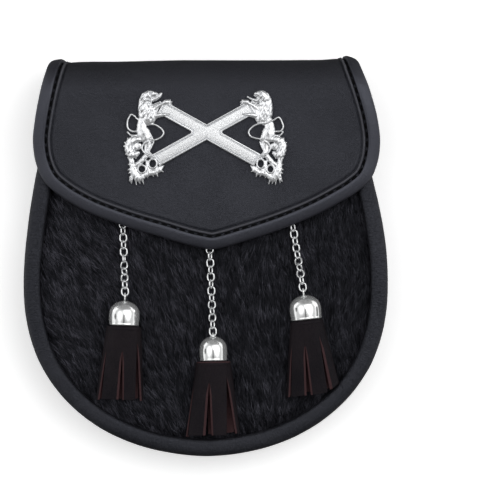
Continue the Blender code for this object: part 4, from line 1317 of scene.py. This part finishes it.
def chain_line(start, heading):
    """The line of a chain: from its cap's eye down onto the fur, and up under the flap."""
    rest = GAP + LINK_HALF_WIDTH + LINK_WIRE
    distance = np.arange(0.0, CHAIN_REACH)
    x, y = start[0] + heading[0] * distance, start[1] + heading[1] * distance
    floor = fur_height(x, y) + rest
    fallen = eased((distance - CHAIN_LEVEL) / CHAIN_FALL)
    return np.column_stack([x, y, floor + np.maximum(0.0, start[2] - floor) * (1 - fallen)])


def one_link(half_length, half_width, wire):
    """An oval link of round wire, lying flat along X."""
    radii = {"major_radius": half_width * MM, "minor_radius": wire * MM}
    link = begun(bpy.ops.mesh.primitive_torus_add, major_segments=28, minor_segments=10, **radii)
    points = points_of(link)
    points[:, 0] += (half_length - half_width) * np.tanh(4 * points[:, 0])
    move_points(link, points)
    return link


def make_chain(name, line, links, seed):
    """Oval links, each rolled over a little, and every second one tipped up."""
    along = run_of(line)

    def on_line(distance):
        return Vector(spot_on(line, along, distance))

    draw = np.random.default_rng(seed)
    hold = LINK_HALF_LENGTH - 2 * LINK_WIRE - GAP
    places = []
    for number in range(links):
        at = hold + number * LINK_PITCH
        heading = on_line(at + LINK_WIRE) - on_line(at)
        roll = draw.normal(*LINK_LIE) + (LINK_TIP if number % 2 else 0.0)
        place = facing(on_line(at) * MM, heading, (0, 0, 1)) @ Matrix.Rotation(math.radians(roll), 4, "X")
        places.append(place)
    piece = copies_of("links_" + name, one_link(LINK_HALF_LENGTH, LINK_HALF_WIDTH, LINK_WIRE_SHOWN), places)
    wear(piece, "chain_steel", CHAIN_NICKEL, replaces=("chain_" + name,), degrees=60.0)


CAP_OUTSIDE = (  # radius and height, as shares of the cap's own
    (0.905, 0.0),
    (0.948, 0.010),
    (0.974, 0.032),
    (0.972, 0.055),
    (0.954, 0.078),
    (0.957, 0.095),
    (0.970, 0.15),
    (0.986, 0.24),
    (0.994, 0.36),
    (0.985, 0.48),
    (0.955, 0.59),
    (0.90, 0.68),
    (0.80, 0.77),
    (0.66, 0.85),
    (0.48, 0.915),
    (0.31, 0.955),
    (0.20, 0.970),
    (0.12, 0.985),
)
CAP_SIDES = 64
CAP_WALL = 0.7


def drawn_up(rows, sides):
    """A ring drawn up along Z through rows of radius and height in mm, and closed at the top."""
    radius, height = rows[0][0] * MM, rows[0][1] * MM
    add = bpy.ops.mesh.primitive_circle_add
    piece = begun(add, vertices=sides, radius=radius, location=(0, 0, height))
    open_up()
    for (r0, h0), (r1, h1) in zip(rows, rows[1:]):
        bpy.ops.mesh.extrude_region_move(TRANSFORM_OT_translate={"value": (0, 0, (h1 - h0) * MM)})
        bpy.ops.transform.resize(value=(r1 / r0, r1 / r0, 1.0), center_override=(0, 0, 0))
    bpy.ops.mesh.edge_face_add()
    bpy.ops.object.mode_set(mode="OBJECT")
    bpy.ops.object.transform_apply(location=True, rotation=True, scale=True)
    return piece


def make_cap(name, place, radius, height, eye_sink):
    """A drawn bell cap with a rolled lip, and the eye that its chain holds."""
    rows = [(r * radius, h * height) for r, h in CAP_OUTSIDE]
    shell = drawn_up(rows, CAP_SIDES)
    tidy_shell(shell)
    finish_with(shell, "SOLIDIFY", thickness=CAP_WALL * MM, offset=-1.0)
    shell.data.transform(Matrix.Rotation(-math.pi / 2, 4, "X"))
    eye = one_link(EYE_RADIUS, EYE_RADIUS, EYE_WIRE)
    at = Vector((0.0, height - eye_sink + EYE_RADIUS, 0.0))
    eye.data.transform(facing(at * MM, (0, 1, 0), (1, 0, 0)))
    cap = join("bell_" + name, [shell, eye])
    cap.data.transform(scaled(place))
    wear(cap, "chrome", CAP_CHROME, replaces=("cap_" + name,), degrees=50.0)
    return place @ (at + Vector((0, EYE_RADIUS, 0)))


def skirt_point(share, turn, inward, pendant):
    """A place on a tassel's skirt in its own frame: down it, round it and in from its face."""
    radius, length, left, right, rise, drop, top_share = pendant
    wide = (1 - share) * top_share * radius + share * np.where(np.cos(turn) < 0, left, right)
    deep = (1 - share) * SKIRT_TOP_HALF_DEPTH + share * SKIRT_END_HALF_DEPTH
    x = (wide - inward) * np.cos(turn)
    z = (deep - inward) * np.sin(turn) - drop * share
    y = -SKIRT_START - share * (length - SKIRT_START - rise * np.maximum(0.0, np.cos(turn)) ** 3)
    return np.column_stack([x, y, z])


STRIP_COLUMNS = (-1, -0.80, -0.78, -0.4, 0, 0.4, 0.78, 0.80, 1)
STRIP_ROWS = 18
STRIP_WALL = 1.25


def make_strip(before, after, pendant, draw):
    """One strip of a tassel, between the slits before and after it; its edges near the front are skived."""
    (turn_0, half_0, start_0), (turn_1, half_1, start_1) = before, after
    last = len(STRIP_COLUMNS) - 1
    steps = {"x_subdivisions": last, "y_subdivisions": STRIP_ROWS}
    piece = begun(bpy.ops.mesh.primitive_grid_add, size=2.0 * MM, **steps)
    flat = points_of(piece)
    column = np.round((flat[:, 0] + 1) * last / 2).astype(int)
    across, down = np.array(STRIP_COLUMNS)[column], (1 - flat[:, 1]) / 2
    low, high = (np.clip((down - start) / (1 - start), 0.0, 1.0) for start in (start_0, start_1))
    share = (across + 1) / 2
    loose = low + (high - low) * share
    bevel = np.where((np.abs(across) > 0.7) & (np.abs(across) < 1.0), np.clip(4 * loose, 0.06, 1.0), 1.0)
    across = np.sign(across) * (1 - (1 - np.abs(across)) * bevel)
    share = (across + 1) / 2
    low_turn, high_turn = turn_0 + half_0 * low**0.8, turn_1 - half_1 * high**0.8
    turn = np.radians(low_turn + (high_turn - low_turn) * share)
    middle = math.radians((turn_0 + turn_1) / 2)
    behind = math.sin(middle) < -0.2
    toward_front = math.copysign(1.0, math.cos(middle))
    skived = (column == (last if toward_front > 0 else 0)) & (not behind)
    inward = 0.25 + loose * (0.6 * skived + 1.1 * behind + draw.normal(0.0, 0.2) * across)
    down = down * (1 - (0.02 * draw.uniform(0, 1) + 0.03 * behind) * loose)
    move_points(piece, skirt_point(down, turn, inward, pendant))
    piece.data.materials.append(TASSEL_GRAIN)
    piece.data.materials.append(TASSEL_FLESH)
    for face in piece.data.polygons:
        if any(skived[v] for v in face.vertices) and min(loose[v] for v in face.vertices) > 0.0:
            face.material_index = 1
    return piece


def make_roll_head(pendant):
    """The roll that the strips hang from, let into the cap; a wide one shows its cut edge."""
    radius, top_share = pendant[0], pendant[-1]
    core = radius * 0.93 - 1.2
    top = radius * top_share - 0.3
    rows = [(core * 0.93, -2.4), (top * 0.98, -2.3), (top, -2.2), (top, -SKIRT_START - 0.1)]
    rows += [(top - 0.35, -0.45), (core, -0.4), (core, 4.5)]
    roll = drawn_up(rows, 48)
    tidy_shell(roll)
    roll.data.transform(Matrix.Rotation(-math.pi / 2, 4, "X"))
    points = points_of(roll)
    points[:, 2] *= np.where(points[:, 1] > -0.42, 1.0, (SKIRT_TOP_HALF_DEPTH - 0.3) / top)
    move_points(roll, points)
    roll.data.materials.append(TASSEL_GRAIN)
    roll.data.materials.append(TASSEL_FLESH)
    for face in roll.data.polygons:
        if top_share > 1.2 and -1.0 * MM < face.center.y < -0.3 * MM:
            face.material_index = 1
    return roll


def make_tassel(name, place, pendant, seed):
    """Strips of leather hanging from a roll, black outside and red-brown where they are cut."""
    draw = np.random.default_rng(seed)
    slits = SKIRT_SLITS[name]
    strips = list(zip(slits, slits[1:])) + [(slits[-1], (slits[0][0] + 360, *slits[0][1:]))]
    skirt = join("tassel_strips_" + name, [make_strip(*pair, pendant, draw) for pair in strips])
    pick(skirt)
    open_up()
    bpy.ops.mesh.remove_doubles(threshold=MERGE * MM)
    bpy.ops.object.mode_set(mode="OBJECT")
    points_out(skirt)
    cut_side = {"material_offset": 1, "material_offset_rim": 1}
    finish_with(skirt, "SOLIDIFY", thickness=STRIP_WALL * MM, offset=-1.0, **cut_side)
    tassel = join("tassel_strips_" + name, [skirt, make_roll_head(pendant)])
    tassel.data.transform(scaled(place))
    wear(tassel, "tassel_leather", TASSEL_GRAIN, TASSEL_FLESH, replaces=("tassel_" + name,), degrees=35.0)


def points_out(piece):
    """Turns an open skirt's strips outwards; they are all laid out alike."""
    first = max(piece.data.polygons, key=lambda face: face.center.y)
    if first.normal.dot(Vector((first.center.x, 0.0, first.center.z))) < 0:
        piece.data.flip_normals()


def make_pendants():
    for number, row in enumerate(PENDANTS):
        name, x, y, lean, chain_lean, radius, height, eye_sink, links, length, left, right, rise = row
        place = pendant_frame(x, y, lean, float(fur_height(x, y)) + GAP + radius)
        bearing = make_cap(name, place, radius, height, eye_sink)
        heading = (-math.sin(math.radians(chain_lean)), math.cos(math.radians(chain_lean)))
        end = place @ Vector((0.0, -length, 0.0))
        drop = end.z - (float(fur_height(end.x, end.y)) + GAP + SKIRT_END_HALF_DEPTH)
        pendant = (radius, length, left, right, rise, drop, SKIRT_TOP_SHARES[name])
        make_tassel(name, place, pendant, 70 + number)
        make_chain(name, chain_line(bearing, heading), links, 80 + number)


# ---------------------------------------------------------------- back and belt loops

BACK_BASE = 6.8
BACK_TOP_Y = 82.5
BACK_ROWS = ((8.6, 0.0), (9.1, 0.0), (10.6, 0.0))  # inset and lift
LOOP_CENTRES_X = (-45.0, 45.0)
LOOP_CENTRE_Y = 45.0
LOOP_WIDTH = 26.0
LOOP_HALF_WALL = 1.0
LOOP_LINE = (  # y from the loop's middle, z of the leather's middle
    (-21.5, 5.5),
    (-17.0, 5.5),
    (-13.4, 5.2),
    (-12.0, 3.4),
    (-10.4, 1.2),
    (-6.0, 1.0),
    (6.0, 1.0),
    (10.4, 1.2),
    (12.0, 3.4),
    (13.4, 5.2),
    (17.0, 5.5),
    (21.5, 5.5),
)


def make_back():
    """The flat back, with its worked edge."""
    piece = cut_leather("back_leather", body_path(0.0, BACK_TOP_Y, 300), BACK_ROWS, [], [])
    points = points_of(piece)
    points[:, 2] = BACK_BASE
    move_points(piece, points)
    finish_with(piece, "SOLIDIFY", thickness=WALL * MM, offset=1.0)
    finish_with(piece, "BEVEL", width=0.3 * MM, segments=2, limit_method="ANGLE")
    wear(piece, "black_leather", BODY_LEATHER, replaces=("back_panel",))


def make_belt_loops():
    """Two leather loops on the back, folded up round the strap's slot."""
    for name, x in zip(("left", "right"), LOOP_CENTRES_X):
        line = smooth_path(LOOP_LINE, 60)
        outer, inner = shifted_in(line, LOOP_HALF_WALL), shifted_in(line, -LOOP_HALF_WALL)
        section = np.vstack([outer, inner[::-1]])
        piece = begun(bpy.ops.mesh.primitive_circle_add, vertices=len(section), fill_type="NGON")
        piece.name = "loop_" + name
        side = np.full(len(section), x - LOOP_WIDTH / 2)
        move_points(piece, np.column_stack([side, section[:, 0] + LOOP_CENTRE_Y, section[:, 1]]))
        open_up()
        bpy.ops.mesh.extrude_region_move(TRANSFORM_OT_translate={"value": (LOOP_WIDTH * MM, 0, 0)})
        bpy.ops.object.mode_set(mode="OBJECT")
        tidy_shell(piece)
        round_edges(piece, 0.35, 40.0)
        wear(piece, "black_leather", BODY_LEATHER, replaces=("belt_loop_" + name,))


def make_kept_nodes():
    """The hidden metal keeps its solids, and gets the chains' plating."""
    for name in ("anchor_left", "anchor_middle", "anchor_right", "closure_stud"):
        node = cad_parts[name]
        for slot in node.material_slots:
            slot.material = CHAIN_NICKEL


# ---------------------------------------------------------------- stage

# the studio's own sizes are in metres
CAMERA_AIM = (0.02304, 0.0035, 0.033)
CAMERA_DISTANCE = 5.0
FRAME_WIDTH = 0.26
SENSOR_WIDTH = 36.0  # this one in millimetres, as the camera has it
FLOOR_SIZE = 6.0
FLOOR_GLOW = 0.45
SKY_LEVELS = (  # height, level
    (-0.10, 0.09), (0.05, 0.42), (0.30, 0.55), (0.60, 0.60), (0.85, 0.64), (1.0, 0.67)
)
BRIGHT_PATCHES = (  # direction, inner and outer half angle in degrees, level
    (0.16, 0.42, 0.88, 8.0, 26.0, 0.85),
    (-0.54, 0.10, 0.82, 8.0, 27.0, 0.95),
    (0.50, 0.20, 0.82, 10.0, 32.0, 1.20),
    (-0.92, 0.0, -0.25, 15.0, 42.0, 0.75),
    (0.92, 0.0, -0.25, 15.0, 42.0, 0.75),
    (-0.75, 0.55, 0.0, 10.0, 28.0, 0.70),
    (0.75, 0.55, 0.0, 10.0, 28.0, 0.70),
)
DARK_SPOTS = (  # what stands about the studio: direction, inner and outer half angle, share of light left
    (-0.95, 0.03, 0.32, 7.0, 9.0, 0.0),
    (-0.60, 0.80, 0.10, 5.0, 7.0, 0.0),
    (0.17, 0.98, 0.11, 4.0, 6.0, 0.0),
    (0.62, 0.72, 0.32, 4.0, 6.0, 0.0),
    (0.98, -0.06, -0.06, 8.0, 11.0, 0.03),
    (0.98, 0.10, -0.06, 8.0, 11.0, 0.03),
    (-0.03, -0.24, 1.0, 5.6, 7.0, 0.0),
    (-0.03, -0.14, 1.0, 4.4, 5.8, 0.0),
    (-0.03, -0.04, 1.0, 3.8, 5.2, 0.0),
    (-0.03, 0.05, 1.0, 3.2, 4.6, 0.0),
    (0.0, -0.90, 0.45, 30.0, 62.0, 0.17),
    (0.0, 0.90, 0.33, 20.0, 46.0, 0.27),
)
SOFT_BOXES = (  # name, place, size, power
    ("softbox", (0.0, 0.02, 0.52), 0.34, 0.30),
    ("window", (0.75, 0.30, 0.80), 0.40, 0.5),
)


def cosine(degrees):
    return math.cos(math.radians(degrees))


def nearness(tree, direction, toward):
    """The cosine of the angle between a direction and a set one."""
    settings = {"operation": "DOT_PRODUCT"}
    toward = Vector(toward).normalized()
    return put(tree, "VectorMath", settings, in_0=direction, in_1=toward).outputs["Value"]


def lay_floor():
    """A white floor that gives back the light."""
    floor = begun(bpy.ops.mesh.primitive_plane_add, size=FLOOR_SIZE)
    floor.name = "floor"
    material, tree, shader = new_material("floor", 0.9, shine=0.1)
    paper = put(tree, "TexNoise", Vector=here(tree), Scale=40.0, Detail=2.0)
    paint(tree, shader, paper.outputs[0], (0.90, 0.90, 0.90), (0.93, 0.93, 0.93))
    shader.inputs["Emission Color"].default_value = (1.0, 1.0, 1.0, 1.0)
    shader.inputs["Emission Strength"].default_value = FLOOR_GLOW
    floor.data.materials.append(material)
    floor.visible_glossy = False


def set_sky():
    """Soft light from all round, brighter and darker in places, and white where the camera sees it."""
    world = bpy.data.worlds.new("soft_studio")
    bpy.context.scene.world = world
    world.use_nodes = True
    tree = world.node_tree
    background = tree.nodes["Background"]
    direction = put(tree, "TexCoord").outputs["Generated"]
    height = put(tree, "SeparateXYZ", Vector=direction).outputs["Z"]
    low, high = SKY_LEVELS[0][0], SKY_LEVELS[-1][0]
    ramp = put(tree, "ValToRGB", Fac=spread_evenly(tree, height, low, high))
    stops = [((z - low) / (high - low), level) for z, level in SKY_LEVELS]
    for element, (position, level) in zip(ramp.color_ramp.elements, (stops[0], stops[-1])):
        element.position, element.color = position, (level, level, level, 1.0)
    for position, level in stops[1:-1]:
        ramp.color_ramp.elements.new(position).color = (level, level, level, 1.0)
    level = put(tree, "SeparateColor", Color=ramp.outputs["Color"]).outputs["Red"]
    for *toward, inner, outer, brighter in BRIGHT_PATCHES:
        patch = spread(tree, nearness(tree, direction, toward), cosine(outer), cosine(inner), 0.0, brighter)
        level = sums(tree, "ADD", level, patch)
    for *toward, inner, outer, left in DARK_SPOTS:
        spot = spread(tree, nearness(tree, direction, toward), cosine(outer), cosine(inner), 1.0, left)
        level = sums(tree, "MULTIPLY", level, spot)
    seen = put(tree, "LightPath").outputs["Is Camera Ray"]
    tree.links.new(sums(tree, "MAXIMUM", level, seen), background.inputs["Strength"])
    background.inputs["Color"].default_value = (1.0, 1.0, 1.0, 1.0)


def hang_lights():
    """Soft boxes turned to the pouch, which the metal doesn't mirror."""
    for name, place, size, power in SOFT_BOXES:
        light = begun(bpy.ops.object.light_add, type="AREA", location=place)
        light.name = name
        light.data.size = size
        light.data.energy = power
        light.rotation_euler = (-Vector(place)).to_track_quat("-Z", "Y").to_euler()
        light.visible_glossy = False


def set_camera():
    """The camera straight above, far off and narrow."""
    x, y, z = CAMERA_AIM
    camera = begun(bpy.ops.object.camera_add, location=(x, y, z + CAMERA_DISTANCE), rotation=(0, 0, 0))
    camera.name = "camera"
    camera.data.sensor_width = SENSOR_WIDTH
    camera.data.lens = SENSOR_WIDTH * CAMERA_DISTANCE / FRAME_WIDTH
    camera.data.clip_end = 20.0
    bpy.context.scene.camera = camera
    bpy.context.scene.view_settings.view_transform = "Standard"


lay_floor()
set_sky()
hang_lights()
set_camera()
make_roll("front_roll", FRONT_ROLL_BASE, "front_rim", 21)
make_roll("back_roll", 0.0, "back_rim", 31)
make_gusset()
make_hide()
make_hair()
make_flap()
make_binding()
make_flap_stitches()
make_badge()
make_pendants()
make_back()
make_belt_loops()
make_kept_nodes()
